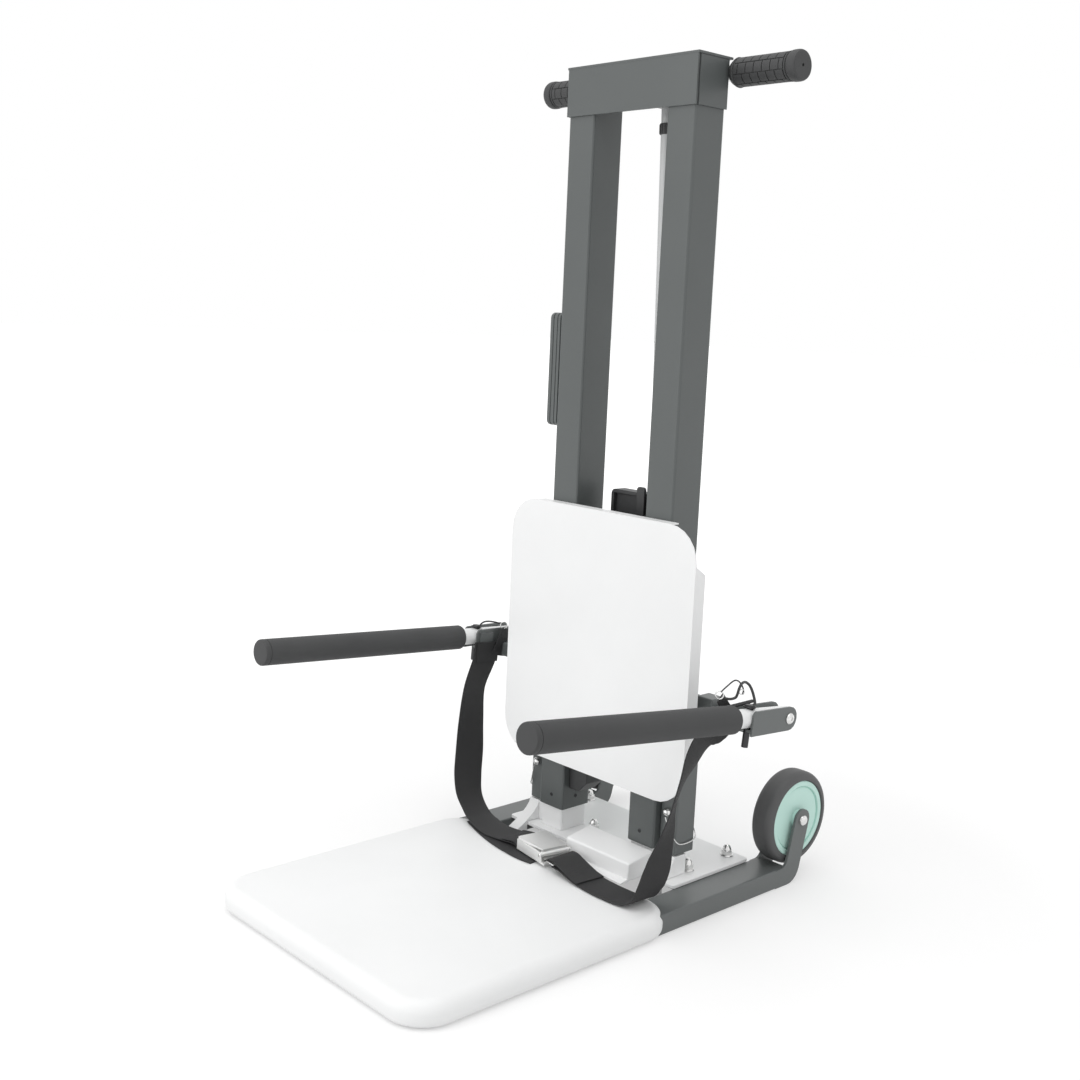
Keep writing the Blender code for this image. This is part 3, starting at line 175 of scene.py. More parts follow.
def finished(name, group, sizes, bump, depth, metallic=0.0, specular=0.5):
    """A material whose colour, roughness and fine relief come from a shared group."""
    look = bpy.data.materials.new(name)
    look["slot"] = name
    look.use_nodes = True
    nodes = look.node_tree
    skin = wire(nodes, "ShaderNodeGroup", {}, node_tree=group)
    for label, value in sizes.items():
        skin.inputs[label].default_value = value
    raised = wire(nodes, "ShaderNodeBump", {"Height": skin.outputs["Height"], "Strength": bump,
                                            "Distance": depth})
    body = nodes.nodes["Principled BSDF"]
    body.inputs["Metallic"].default_value = metallic
    body.inputs["Specular IOR Level"].default_value = specular
    nodes.links.new(skin.outputs["Colour"], body.inputs["Base Color"])
    nodes.links.new(skin.outputs["Roughness"], body.inputs["Roughness"])
    nodes.links.new(raised.outputs[0], body.inputs["Normal"])
    return look


def coated(name, colour, shade, roughness, spread, grain, drift_scale, bump, metallic=0.0, specular=0.5):
    """A finish with a fine grain and slow drifts of tone."""
    return finished(name, coat_grain, {"Colour": (*colour, 1), "Shade": (*shade, 1), "Roughness": roughness,
                                       "Spread": spread, "Grain scale": grain, "Drift scale": drift_scale},
                    bump, 0.0004, metallic, specular)


def settle(name, mesh, look, body, nodes=(), smooth=38.0):
    """Link a finished mesh, shade it, and let it ride on its body, if it has one, for the given solids."""
    mesh.materials.clear()
    mesh.materials.append(look)
    mesh.shade_smooth()
    mesh.set_sharp_from_angle(angle=radians(smooth))
    made = show(name, mesh)
    even = made.modifiers.new("even shading", "WEIGHTED_NORMAL")
    even.keep_sharp = True
    if body:
        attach(made, body)
    if nodes:
        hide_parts(*nodes)
    return made


def rounded_over(bm, width, segments, sharp):
    """Round the edges of a mesh that turn by more than the given angle."""
    edges = [edge for edge in bm.edges if len(edge.link_faces) == 2
             and edge.calc_face_angle() > radians(sharp)]
    bmesh.ops.bevel(bm, geom=edges, offset=width, segments=segments, profile=0.5, affect="EDGES",
                    clamp_overlap=True)


def as_mesh(name, bm, axis=None):
    if axis is not None:
        bm.transform(axis)
    mesh = bpy.data.meshes.new(name)
    bm.to_mesh(mesh)
    bm.free()
    return mesh


def solid_copy(node):
    bm = bmesh.new()
    bm.from_mesh(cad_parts[node].data)
    bmesh.ops.remove_doubles(bm, verts=bm.verts, dist=0.00001)
    bmesh.ops.dissolve_limit(bm, angle_limit=radians(1.0), verts=bm.verts, edges=bm.edges)
    bmesh.ops.connect_verts_concave(bm, faces=bm.faces)
    return bm


def softened(node, look, body, width=0.0009, segments=2, sharp=38.0):
    """A copy of a solid whose sharp edges are rounded over as a coat or a press rounds them."""
    bm = solid_copy(node)
    rounded_over(bm, width, segments, sharp)
    return settle(f"{node}_skin", as_mesh(node, bm), look, body, (node,))


def growth_tree(name, inputs):
    """A Geometry Nodes tree with named inputs, its input sockets and its output node's inputs."""
    made = bpy.data.node_groups.new(name, "GeometryNodeTree")
    made.interface.new_socket("Geometry", in_out="INPUT", socket_type="NodeSocketGeometry")
    made.interface.new_socket("Geometry", in_out="OUTPUT", socket_type="NodeSocketGeometry")
    for label, kind in inputs:
        made.interface.new_socket(label, in_out="INPUT", socket_type=f"NodeSocket{kind}")
    return made, made.nodes.new("NodeGroupInput").outputs, made.nodes.new("NodeGroupOutput").inputs


def close_tree(tree, shape, finish, out):
    """End a tree in plain geometry that carries its finish."""
    real = wire(tree, "GeometryNodeRealizeInstances", {"Geometry": shape})
    done = wire(tree, "GeometryNodeSetMaterial", {"Geometry": real.outputs[0], "Material": finish})
    tree.links.new(done.outputs[0], out["Geometry"])


def grown(base, tree, sizes):
    """The plain mesh that a tree makes from a base mesh with the given sizes."""
    holder = show(base.name, base)
    growth = holder.modifiers.new("growth", "NODES")
    growth.node_group = tree
    for socket in tree.interface.items_tree:
        if socket.in_out == "INPUT" and socket.name in sizes:
            growth[socket.identifier] = sizes[socket.name]
    mesh = bpy.data.meshes.new_from_object(holder.evaluated_get(bpy.context.evaluated_depsgraph_get()))
    bpy.data.objects.remove(holder)
    return mesh


bead_row, given, out = growth_tree("Row of beads along a path", [
    ("Spacing", "Float"), ("Length", "Float"), ("Width", "Float"), ("Height", "Float"), ("Finish", "Material")])
line = wire(bead_row, "GeometryNodeMeshToCurve", {"Mesh": given["Geometry"]})
spaced = wire(bead_row, "GeometryNodeResampleCurve", {"Curve": line.outputs[0], "Length": given["Spacing"]},
              mode="LENGTH")
run = wire(bead_row, "GeometryNodeInputTangent", {})
turn = wire(bead_row, "FunctionNodeAlignRotationToVector", {"Vector": run.outputs[0]}, axis="X")
bead = wire(bead_row, "GeometryNodeMeshUVSphere", {"Segments": 8, "Rings": 5, "Radius": 0.5})
size = wire(bead_row, "ShaderNodeCombineXYZ", {"X": given["Length"], "Y": given["Width"], "Z": given["Height"]})
placed = wire(bead_row, "GeometryNodeInstanceOnPoints",
              {"Points": spaced.outputs[0], "Instance": bead.outputs["Mesh"], "Rotation": turn.outputs[0],
               "Scale": size.outputs[0]})
close_tree(bead_row, placed.outputs[0], given["Finish"], out)


def bead_lines(name, lines, spacing, length, width, height, look):
    """Beads set along several lines of points."""
    points = [Vector(point) for line in lines for point in line]
    pairs, start = [], 0
    for line in lines:
        pairs += [(start + k, start + k + 1) for k in range(len(line) - 1)]
        start += len(line)
    base = bpy.data.meshes.new(name)
    base.from_pydata(points, pairs, [])
    return grown(base, bead_row, {"Spacing": spacing, "Length": length, "Width": width, "Height": height,
                                  "Finish": look})


dark_paint = coated("Dark grey paint", (0.124, 0.134, 0.133), (0.113, 0.123, 0.122), 0.30, 0.14, 1400, 6, 0.10)
for node in ("rail_right", "rail_left", "cross_bar_front", "cross_bar_rear"):
    softened(node, dark_paint, "base")
welds = [[(side * 0.1690, 0.2862, 0.0280), (side * 0.2110, 0.2862, 0.0280)] for side in (1, -1)]
settle("rail_welds", bead_lines("rail_welds", welds, 0.0021, 0.0032, 0.0046, 0.0024, dark_paint), dark_paint,
       "base")


# Base plate, inner posts, feet and drive cover: white powder-coated steel bolted across the rails.
# The plate carries the mast's inner tubes, and the folded cover hides the drive between them.
white_paint = coated("White paint", (0.875, 0.88, 0.88), (0.85, 0.855, 0.855), 0.34, 0.14, 1200, 7, 0.08)
for node, width in (("base_plate", 0.0008), ("inner_post_right", 0.0010), ("inner_post_left", 0.0010),
                    ("drive_cover", 0.0004)):
    softened(node, white_paint, "base", width, 3)


# Dome nuts: six plated flange nuts, which clamp the base plate to the cross bars.
# Each is forged in one with its washer, with a hexagon and a turned dome.
set_out, given, out = growth_tree("Set out on points", [("Pattern", "Object"), ("Finish", "Material")])
turn = wire(set_out, "GeometryNodeInputNamedAttribute", {"Name": "turn"}, data_type="FLOAT_VECTOR")
turn = wire(set_out, "FunctionNodeEulerToRotation", {"Euler": turn.outputs[0]})
shape = wire(set_out, "GeometryNodeObjectInfo", {"Object": given["Pattern"]}, transform_space="ORIGINAL")
placed = wire(set_out, "GeometryNodeInstanceOnPoints",
              {"Points": given["Geometry"], "Instance": shape.outputs["Geometry"], "Rotation": turn.outputs[0]})
close_tree(set_out, placed.outputs[0], given["Finish"], out)


def copies(name, pattern, places, look):
    """Copies of one pattern at places of (point, outward direction, spin)."""
    base = bpy.data.meshes.new(name)
    base.from_pydata([Vector(point) for point, facing, spin in places], [], [])
    turns = base.attributes.new("turn", "FLOAT_VECTOR", "POINT")
    for k, (point, facing, spin) in enumerate(places):
        aim = Vector(facing).to_track_quat("Z", "Y").to_matrix() @ Matrix.Rotation(spin, 3, "Z")
        turns.data[k].vector = aim.to_euler()
    shape = show(f"{name}_pattern", pattern)
    mesh = grown(base, set_out, {"Pattern": shape, "Finish": look})
    bpy.data.objects.remove(shape)
    return mesh


def turned(name, profile, axis=None, steps=48):
    """A closed body turned about an axis from its profile: (radius, distance along) in millimetres."""
    bm = bmesh.new()
    rings = []
    for radius, along in profile:
        count = steps if radius > 0 else 1
        rings.append([bm.verts.new((radius * cos(2 * pi * k / steps) / 1000, radius * sin(2 * pi * k / steps) / 1000,
                                    along / 1000)) for k in range(count)])
    if profile[0][0] > 0 and profile[-1][0] > 0:
        rings.append(rings[0])
    for one, two in zip(rings, rings[1:]):
        for k in range(steps):
            corners = [one[k % len(one)], one[(k + 1) % steps % len(one)], two[(k + 1) % steps % len(two)],
                       two[k % len(two)]]
            bm.faces.new(list(dict.fromkeys(corners)))
    bmesh.ops.recalc_face_normals(bm, faces=bm.faces)
    return as_mesh(name, bm, axis)


def dome_nut():
    """Hexagon with drawn-in corners between a washer and a dome, standing on its base."""
    bm = bmesh.new()
    rings = []
    for flat, round_, height in ((0, 9.5, 0), (0, 9.5, 0.9), (0, 8.9, 1.8), (8.3, 8.3, 1.85), (8.3, 8.5, 8.2),
                                 (0, 7.4, 9.0), (0, 6.4, 9.1), (0, 6.1, 11.2), (0, 5.0, 14.2), (0, 3.1, 16.2),
                                 (0, 1.2, 16.95)):
        ring = []
        for k in range(24):
            angle = 2 * pi * k / 24
            side = (angle + pi / 6) % (pi / 3) - pi / 6
            radius = flat * cos(pi / 6) / cos(side) if flat else round_
            ring.append(bm.verts.new((radius * cos(angle) / 1000, radius * sin(angle) / 1000, height / 1000)))
        rings.append(ring)
    for one, two in zip(rings, rings[1:]):
        for k in range(24):
            bm.faces.new((one[k], one[(k + 1) % 24], two[(k + 1) % 24], two[k]))
    bm.faces.new(rings[-1])
    bm.faces.new(list(reversed(rings[0])))
    bmesh.ops.recalc_face_normals(bm, faces=bm.faces)
    return as_mesh("dome_nut", bm)


plated = coated("Bright steel", (0.76, 0.76, 0.75), (0.68, 0.68, 0.68), 0.18, 0.16, 500, 14, 0.04, 1.0)
nut_places = [((side * x, y, 0.0336), (0, 0, 1), 0.37 * (k + 1) + side * 0.2)
              for side in (1, -1) for k, (x, y) in enumerate(((0.142, 0.242), (0.142, 0.156), (0.0455, 0.156)))]
settle("dome_nuts", copies("dome_nuts", dome_nut(), nut_places, plated), plated, "base",
       [f"dome_nut_{number}" for number in range(1, 7)], 30.0)


# Platform: a tray pressed from white-coated sheet, with a broad rolled edge all round that tucks in below.
# The rails come out through its rear corners. A fine dry texture in the coat keeps shoes from slipping.
def rounded_rectangle(half_wide, half_high, corner, steps=5):
    """Corner points of a rectangle with rounded corners, around its middle."""
    points = []
    for k, (x, y) in enumerate(((1, 1), (-1, 1), (-1, -1), (1, -1))):
        for step in range(steps + 1):
            angle = (k + step / steps) * pi / 2
            points.append((x * (half_wide - corner) + corner * cos(angle),
                           y * (half_high - corner) + corner * sin(angle)))
    return points


def skinned(name, loops, axis=None):
    """A closed skin over a row of loops of points."""
    bm = bmesh.new()
    rings = [[bm.verts.new(point) for point in loop] for loop in loops]
    for one, two in zip(rings, rings[1:]):
        for k in range(len(one)):
            bm.faces.new((one[k], one[(k + 1) % len(one)], two[(k + 1) % len(two)], two[k]))
    bm.faces.new(rings[0])
    bm.faces.new(rings[-1])
    bmesh.ops.recalc_face_normals(bm, faces=bm.faces)
    return as_mesh(name, bm, axis)


tray_white = coated("White tray", (0.88, 0.885, 0.885), (0.855, 0.86, 0.86), 0.46, 0.16, 700, 5, 0.12)
tray_levels = [(6.5, 28.3), (3.0, 17.5), (3.0, 12.0), (8.5, 2.0), (6.0, 2.0), (2.6, 4.0), (0.8, 7.5), (0.0, 12.0)]
tray_levels += [(16 * (1 - cos(k * pi / 20)), 17.5 + 16 * sin(k * pi / 20)) for k in range(11)]
tray_loops = [[(x, y - 0.170, height / 1000) for x, y in
               rounded_rectangle(0.2245 - inset / 1000, 0.218 - inset / 1000, 0.0525 - inset / 1000, 16)]
              for inset, height in tray_levels]
settle("platform_skin", skinned("platform", tray_loops), tray_white, "base", ("platform",), 30.0)


# Wheels: a grey rubber tyre moulded on a mint plastic hub with a groove inside its rim.
# Each runs on a plated shoulder bolt between the two arms of its rail.
grey_tyre = coated("Grey tyre", (0.078, 0.079, 0.080), (0.090, 0.091, 0.092), 0.50, 0.2, 1400, 14, 0.2)
mint = coated("Mint plastic", (0.57, 0.82, 0.745), (0.55, 0.80, 0.725), 0.35, 0.15, 1200, 14, 0.08)
shoulder = [(58 + 10.5 * (1 - (k / 9) ** 2.2) ** (1 / 2.2), 6 + 12 * k / 9) for k in range(10)]
bead = [(57.4, 17.9), (56.3, 17.3), (55.8, 16.2)]
tyre_half = [(68.5, 0), (68.5, 3), *shoulder, *bead]
tyre_profile = [(r, -x) for r, x in reversed(tyre_half)] + tyre_half[1:]
hub_half = [(55.5, 0), (55.5, 15.4), (54.9, 16.2), (54.0, 16.5), (48.4, 16.5), (47.7, 15.9), (47.4, 13.0),
            (46.2, 13.0), (45.8, 14.3), (45.0, 14.6), (13.4, 14.2), (12.2, 14.9), (12.0, 16.0), (12.0, 19.8),
            (11.4, 20.4), (5.4, 20.4)]
hub_profile = [(r, -x) for r, x in reversed(hub_half)] + hub_half[1:]
bolt_profile = [(0, 29.5), (3.6, 29.5), (5.9, 28.8), (7.3, 27.4), (7.8, 25.6), (7.8, 25.0), (5.0, 25.0),
                (5.0, -25.0), (7.4, -25.0), (7.4, -31.6), (6.4, -33.0), (0, -33.0)]
for word, side in (("right", 1), ("left", -1)):
    axis = Matrix.Translation((side * 0.190, 0.319, 0.0918)) @ Matrix.Rotation(side * pi / 2, 4, "Y")
    settle(f"wheel_tyre_{word}_skin", turned("tyre", tyre_profile, axis, 96), grey_tyre, f"{word}_wheel",
           (f"wheel_tyre_{word}",))
    settle(f"wheel_hub_{word}_skin", turned("hub", hub_profile, axis, 96), mint, f"{word}_wheel",
           (f"wheel_hub_{word}",), 28.0)
    settle(f"axle_bolt_{word}_skin", turned("axle", bolt_profile, axis, 32), plated, "base",
           (f"axle_bolt_{word}",), 28.0)


# Mast: two dark box tubes under a folded crosshead, which rise together on the inner posts.
# Black strips in the crosshead's seam gaps are painted shade for the shadow in those gaps, and small sunk screws near
# each foot hold the guides inside.
def blocks(name, boxes, width=0.0):
    """Plain blocks between pairs of opposite corners, with their edges rounded over."""
    bm = bmesh.new()
    for corners in boxes:
        low, high = (Vector(pick(pair) for pair in zip(*corners)) for pick in (min, max))
        bmesh.ops.create_cube(bm, size=1, matrix=Matrix.Translation((low + high) / 2)
                              @ Matrix.Diagonal((*(high - low), 1)))
    if width:
        rounded_over(bm, width, 3, 38.0)
    return as_mesh(name, bm)


# The mast's copy of the dark grey paint is darker than the rails' copy: painted shade for the duller light on the mast
# posts, the crosshead and the control box.
shaded_mast_paint = coated("Dark grey paint", (0.096, 0.105, 0.104), (0.088, 0.097, 0.096), 0.34, 0.14, 1400, 6, 0.10)
shaded_mast_paint["slot"] = "Dark grey paint"
for node, width in (("mast_post_right", 0.0014), ("mast_post_left", 0.0014), ("crosshead", 0.0003)):
    softened(node, shaded_mast_paint, "lift", width, 3)
black_steel = coated("Blackened steel", (0.055, 0.055, 0.057), (0.070, 0.070, 0.072), 0.35, 0.20, 800, 20, 0.06, 1.0)
black_plastic = coated("Black plastic", (0.034, 0.035, 0.036), (0.044, 0.045, 0.046), 0.42, 0.20, 1800, 16, 0.16)
# Black strips that fill the seam gaps at the crosshead's sides and top: painted shade for the shadow in those gaps.
seam_shade_strips = [seam for side in (1, -1)
         for seam in (((side * 0.1174, 0.1078, 1.0690), (side * 0.1185, 0.1096, 1.1312)),
                      ((side * 0.1190, 0.1100, 1.1301), (side * 0.1199, 0.1649, 1.1312)))]
settle("crosshead_seams", blocks("crosshead_seams", seam_shade_strips), black_plastic, "lift", smooth=20.0)
screw = turned("screw", [(0, 0.15), (1.5, 0.15), (1.7, 0.55), (2.3, 0.75), (2.8, 0.45), (2.9, -0.4), (0, -0.4)],
               steps=20)
screw_places = []
for side in (1, -1):
    screw_places += [((side * 0.0905, 0.108, 0.0860), (0, -1, 0), 0.2 * side),
                     ((side * 0.067, 0.1355, 0.0850), (-side, 0, 0), 0.4)]
settle("guide_screws", copies("guide_screws", screw, screw_places, black_steel), black_steel, "lift")


# Handlebar: one plated bar clamped behind the posts, with a moulded rubber grip on each end.
# A grip has a flared collar, staggered square blocks between two rings, and a plain cap with a vent hole.
softened("handlebar", plated, "lift", 0.0003, 2)
grip_tread, given, out = growth_tree("Grip tread", [
    ("Radius", "Float"), ("Rows", "Int"), ("Columns", "Int"), ("Start", "Float"), ("Pitch", "Float"),
    ("Groove", "Float"), ("Height", "Float"), ("Finish", "Material")])


def sum_of(tree, operation, *terms):
    """The result of one Math node."""
    return wire(tree, "ShaderNodeMath", dict(enumerate(terms)), operation=operation).outputs[0]


full_row = sum_of(grip_tread, "ADD", given["Rows"], 1)
number = wire(grip_tread, "GeometryNodeInputIndex", {}).outputs[0]
column = sum_of(grip_tread, "FLOOR", sum_of(grip_tread, "DIVIDE", sum_of(grip_tread, "ADD", number, 0.5), full_row))
row = sum_of(grip_tread, "SUBTRACT", number, sum_of(grip_tread, "MULTIPLY", column, full_row))
shift = sum_of(grip_tread, "MULTIPLY", sum_of(grip_tread, "MODULO", column, 2), -0.5)
middle = sum_of(grip_tread, "ADD", sum_of(grip_tread, "ADD", row, 0.5), shift)
along = sum_of(grip_tread, "MULTIPLY_ADD", middle, given["Pitch"], given["Start"])
end = sum_of(grip_tread, "MULTIPLY_ADD", given["Rows"], given["Pitch"], given["Start"])
girth = sum_of(grip_tread, "MULTIPLY", given["Radius"], 2 * pi)
arc = sum_of(grip_tread, "DIVIDE", girth, given["Columns"])
round_at = sum_of(grip_tread, "MULTIPLY", sum_of(grip_tread, "ADD", column, 0.5), arc)
lift_by = sum_of(grip_tread, "MULTIPLY_ADD", given["Height"], 0.5, -0.0003)
spot = wire(grip_tread, "ShaderNodeCombineXYZ", {"X": along, "Y": round_at, "Z": lift_by})
spots = wire(grip_tread, "GeometryNodePoints",
             {"Count": sum_of(grip_tread, "MULTIPLY", full_row, given["Columns"]), "Position": spot.outputs[0]})
extent = wire(grip_tread, "ShaderNodeCombineXYZ",
              {"X": sum_of(grip_tread, "SUBTRACT", given["Pitch"], given["Groove"]),
               "Y": sum_of(grip_tread, "SUBTRACT", arc, given["Groove"]), "Z": given["Height"]})
block = wire(grip_tread, "GeometryNodeMeshCube", {"Size": extent.outputs[0], "Vertices X": 3, "Vertices Y": 7,
                                                  "Vertices Z": 2})
kept = sum_of(grip_tread, "LESS_THAN", sum_of(grip_tread, "ADD", row, shift),
              sum_of(grip_tread, "SUBTRACT", given["Rows"], 0.25))
laid = wire(grip_tread, "GeometryNodeInstanceOnPoints",
            {"Points": spots.outputs[0], "Selection": kept, "Instance": block.outputs["Mesh"]})
flat_blocks = wire(grip_tread, "GeometryNodeRealizeInstances", {"Geometry": laid.outputs[0]})
flat_place = wire(grip_tread, "ShaderNodeSeparateXYZ",
                  {0: wire(grip_tread, "GeometryNodeInputPosition", {}).outputs[0]}).outputs
angle = sum_of(grip_tread, "DIVIDE", flat_place[1], given["Radius"])
reach = sum_of(grip_tread, "ADD", flat_place[2], given["Radius"])
trimmed = sum_of(grip_tread, "MINIMUM", sum_of(grip_tread, "MAXIMUM", flat_place[0], given["Start"]), end)
wrapped = wire(grip_tread, "ShaderNodeCombineXYZ",
               {"X": trimmed, "Y": sum_of(grip_tread, "MULTIPLY", reach, sum_of(grip_tread, "COSINE", angle)),
                "Z": sum_of(grip_tread, "MULTIPLY", reach, sum_of(grip_tread, "SINE", angle))})
round_blocks = wire(grip_tread, "GeometryNodeSetPosition", {"Geometry": flat_blocks.outputs[0],
                                                            "Position": wrapped.outputs[0]})
whole = wire(grip_tread, "GeometryNodeJoinGeometry", {})
grip_tread.links.new(round_blocks.outputs[0], whole.inputs[0])
grip_tread.links.new(given["Geometry"], whole.inputs[0])
close_tree(grip_tread, whole.outputs[0], given["Finish"], out)

black_rubber = coated("Grip rubber", (0.040, 0.041, 0.042), (0.050, 0.051, 0.052), 0.55, 0.20, 1600, 20, 0.20)
core_profile = [(0, 104.4), (11.2, 104.4), (11.2, 0), (13.6, 0), (15.8, 1.6), (18.7, 6.4), (19.2, 7.8),
                (18.8, 8.8), (17.4, 9.4), (17.2, 10.2), (17.2, 89.7), (17.4, 90.5), (18.6, 91.0), (18.8, 91.9),
                (18.6, 92.8), (17.5, 93.3), (17.5, 94.7), (18.8, 95.3), (19.3, 96.3), (19.5, 98.5),
                (19.5, 103.1), (19.2, 105.5), (18.3, 107.5), (16.6, 108.5), (2.3, 108.5), (1.9, 108.1),
                (1.9, 105.7), (0, 105.7)]
for word, side in (("right", 1), ("left", -1)):
    core = turned(f"grip_{word}", core_profile, Matrix.Rotation(pi / 2, 4, "Y"), 64)
    grip = grown(core, grip_tread, {"Radius": 0.0172, "Rows": 6, "Columns": 8, "Start": 0.0108, "Pitch": 0.01315,
                                    "Groove": 0.0011, "Height": 0.0016, "Finish": black_rubber})
    grip.transform(Matrix.Translation((side * 0.1203, 0.177, 1.1156))
                   @ Matrix.Rotation(0 if side > 0 else pi, 4, "Z") @ Matrix.Rotation(0.3, 4, "X"))
    settle(f"grip_{word}_skin", grip, black_rubber, "lift", (f"grip_{word}",), 30.0)


# Boxes on the mast: a grey control box in three layers on the left post, a black battery case with a sunk
# front between the posts, a black supply box below, and a grey conduit with its clamp and its ribbed gland.
control_layers = [(0.0, 1.2), (0.6, 0.0), (5.2, 0.0), (5.6, 0.5), (5.8, 1.5), (6.6, 1.5), (6.8, 0.5), (7.2, 0.0),
                  (13.0, 0.0), (13.4, 0.5), (13.6, 1.5), (14.4, 1.5), (14.6, 0.5), (15.0, 0.0), (19.6, 0.0),
                  (20.9, 0.6), (21.7, 1.9), (22.0, 3.6)]
control_loops = [[(-0.1173 - depth / 1000, 0.133 + y, 0.718 + z) for y, z in
                  rounded_rectangle(0.024 - inset / 1000, 0.081 - inset / 1000, 0.008 - inset / 1000)]
                 for depth, inset in control_layers]
settle("control_box_skin", skinned("control_box", control_loops), shaded_mast_paint, "lift", ("control_box",), 30.0)

case_layers = [(174.0, 1.5), (172.8, 0.0), (153.0, 0.0), (152.2, 0.6), (152.0, 1.6), (152.0, 4.6), (152.6, 5.4),
               (158.0, 5.8)]
case_loops = [[(x, depth / 1000, 0.438 + z) for x, z in
               rounded_rectangle(0.041 - inset / 1000, 0.115 - inset / 1000, 0.007 - inset / 1000)]
              for depth, inset in case_layers]
settle("battery_box_skin", skinned("battery_box", case_loops), black_plastic, "lift", ("battery_box",), 30.0)
ear = skinned("battery_ears", [[(x, 0.1655 - 0.0105 + y, z) for y, z in ((0, 0.3352), (0.0025, 0.3352),
                                                                        (0.0025, 0.3468), (0, 0.3468))]
                               for x in (-0.0667, 0.0667)])
settle("battery_ears", ear, black_plastic, "lift", smooth=20.0)
softened("supply_box", black_plastic, "lift", 0.0014, 3)

grey_plastic = coated("Grey conduit", (0.60, 0.61, 0.61), (0.56, 0.57, 0.57), 0.38, 0.14, 900, 12, 0.08)
conduit_foot, conduit_head = Vector((0.0320, 0.167, 0.5533)), Vector((0.0185, 0.163, 1.0780))
conduit_axis = (Matrix.Translation(conduit_foot)
                @ (conduit_head - conduit_foot).to_track_quat("Z", "Y").to_matrix().to_4x4())
conduit_profile = [(7.2, 0), (9.0, 0), (9.0, 524.8), (7.2, 524.8)]
settle("cable_conduit_skin", turned("cable_conduit", conduit_profile, conduit_axis, 32), grey_plastic, "lift",
       ("cable_conduit",))
gland_core = turned("conduit_gland", [(9.1, 0), (10.3, 0), (10.6, 0.6), (10.6, 13.9), (10.3, 14.5), (9.1, 14.5)],
                    Matrix.Rotation(pi / 2, 4, "Y"), 48)
gland = grown(gland_core, grip_tread, {"Radius": 0.0106, "Rows": 1, "Columns": 18, "Start": 0.0012, "Pitch": 0.0121,
                                       "Groove": 0.0014, "Height": 0.0009, "Finish": black_plastic})
gland.transform(conduit_axis @ Matrix.Translation((0, 0, 0.4895)) @ Matrix.Rotation(-pi / 2, 4, "Y"))
settle("conduit_gland_skin", gland, black_plastic, "lift", ("conduit_gland",), 30.0)
clamp_profile = [(9.1, 0.1), (11.4, 0.1), (12.0, 0.9), (12.0, 8.9), (11.2, 9.7), (9.1, 9.7)]
settle("conduit_clamp", turned("conduit_clamp", clamp_profile, conduit_axis, 40), black_plastic, "lift", smooth=30)
clamp_layers = [(152.0, 0.4), (151.4, 0), (148.4, 0), (147.6, 0.5), (147.3, 1.6)]
clamp_loops = [[(0.0205 + x, depth / 1000, 0.531 + z) for x, z in
                rounded_rectangle(0.0075 - inset / 1000, 0.031 - inset / 1000, 0.004 - inset / 1000)]
               for depth, inset in clamp_layers]
settle("battery_latch", skinned("battery_latch", clamp_loops), black_plastic, "lift", smooth=30)


# Back panel: white-coated sheet with folded sides, on two dark spacer bars in front of the posts.
softened("back_panel", white_paint, "lift", 0.0008, 2)
for node in ("panel_spacer_lower", "panel_spacer_upper"):
    softened(node, dark_paint, "lift")


# Arm frames: dark uprights with a cross tube and the channel that carries each arm.
# Each arm turns on a plated button-head bolt with a socket, a washer and a thin nut. A collar sits on the right tube.
pivot_profile = [(0, 18.9), (2.2, 18.9), (2.5, 20.2), (3.3, 20.4), (5.2, 19.9), (6.6, 18.7), (7.2, 17.4),
                 (7.5, 17.2), (7.5, 16.4), (4.0, 16.4), (4.0, -16.4), (6.6, -16.4), (6.6, -21.6), (5.8, -22.4),
                 (0, -22.4)]
for word, side in (("right", 1), ("left", -1)):
    softened(f"arm_frame_{word}", dark_paint, "lift", 0.0008, 2)
    axis = Matrix.Translation((side * 0.272, 0.168, 0.289)) @ Matrix.Rotation(side * pi / 2, 4, "Y")
    settle(f"arm_pivot_bolt_{word}_skin", turned("pivot", pivot_profile, axis, 36), plated, "lift",
           (f"arm_pivot_bolt_{word}",), 28.0)
    softened(f"arm_tube_{word}", white_paint, f"{word}_arm", 0.0004, 2)
collar = blocks("tube_collar", [((0.157, 0.134, 0.2610), (0.185, 0.160, 0.2945))], 0.002)
settle("tube_collar", collar, dark_paint, "lift")


# Foam sleeves: black closed-cell foam pushed over each arm tube, with a cap bonded on its outer end.
# The joint of the cap shows as a thin line round the sleeve.
black_foam = coated("Black foam", (0.047, 0.048, 0.049), (0.057, 0.058, 0.059), 0.66, 0.20, 1500, 10, 0.25)
sleeve_profile = [(0, 450.9), (12.6, 450.9), (12.6, 99.5), (16.6, 99.5), (18.0, 100.1), (18.5, 101.6),
                  (18.5, 445.6), (18.3, 446.4), (17.7, 446.6), (17.7, 447.2), (18.3, 447.4), (18.5, 448.2),
                  (18.5, 451.4), (18.2, 453.4), (17.3, 454.6), (15.8, 455.0), (0, 455.0)]
for word, side, tilt in (("right", 1, 6.6), ("left", -1, 4.0)):
    axis = Matrix.Translation((side * 0.272, 0.168, 0.289)) @ Matrix.Rotation(pi / 2 - radians(tilt), 4, "X")
    sleeve = settle(f"arm_foam_{word}_skin", turned("foam", sleeve_profile, axis, 64), black_foam, f"{word}_arm",
                    (f"arm_foam_{word}",))


# Arm lock pins: blackened pins that drop through each channel and its arm, with a capped head.
# A wire eye round each head is tied by a coated cord to a split ring on the strap, so that the pin isn't lost.
def smooth_run(points, steps):
    """A smooth run through the points."""
    points = [Vector(point) for point in points]
    run = []
    ends = [points[0] * 2 - points[1], *points, points[-1] * 2 - points[-2]]
    for p0, p1, p2, p3 in zip(ends, ends[1:], ends[2:], ends[3:]):
        for k in range(steps):
            t = k / steps
            run.append(0.5 * (2 * p1 + (p2 - p0) * t + (2 * p0 - 5 * p1 + 4 * p2 - p3) * t ** 2
                              + (3 * p1 - p0 - 3 * p2 + p3) * t ** 3))
    run.append(points[-1])
    return run


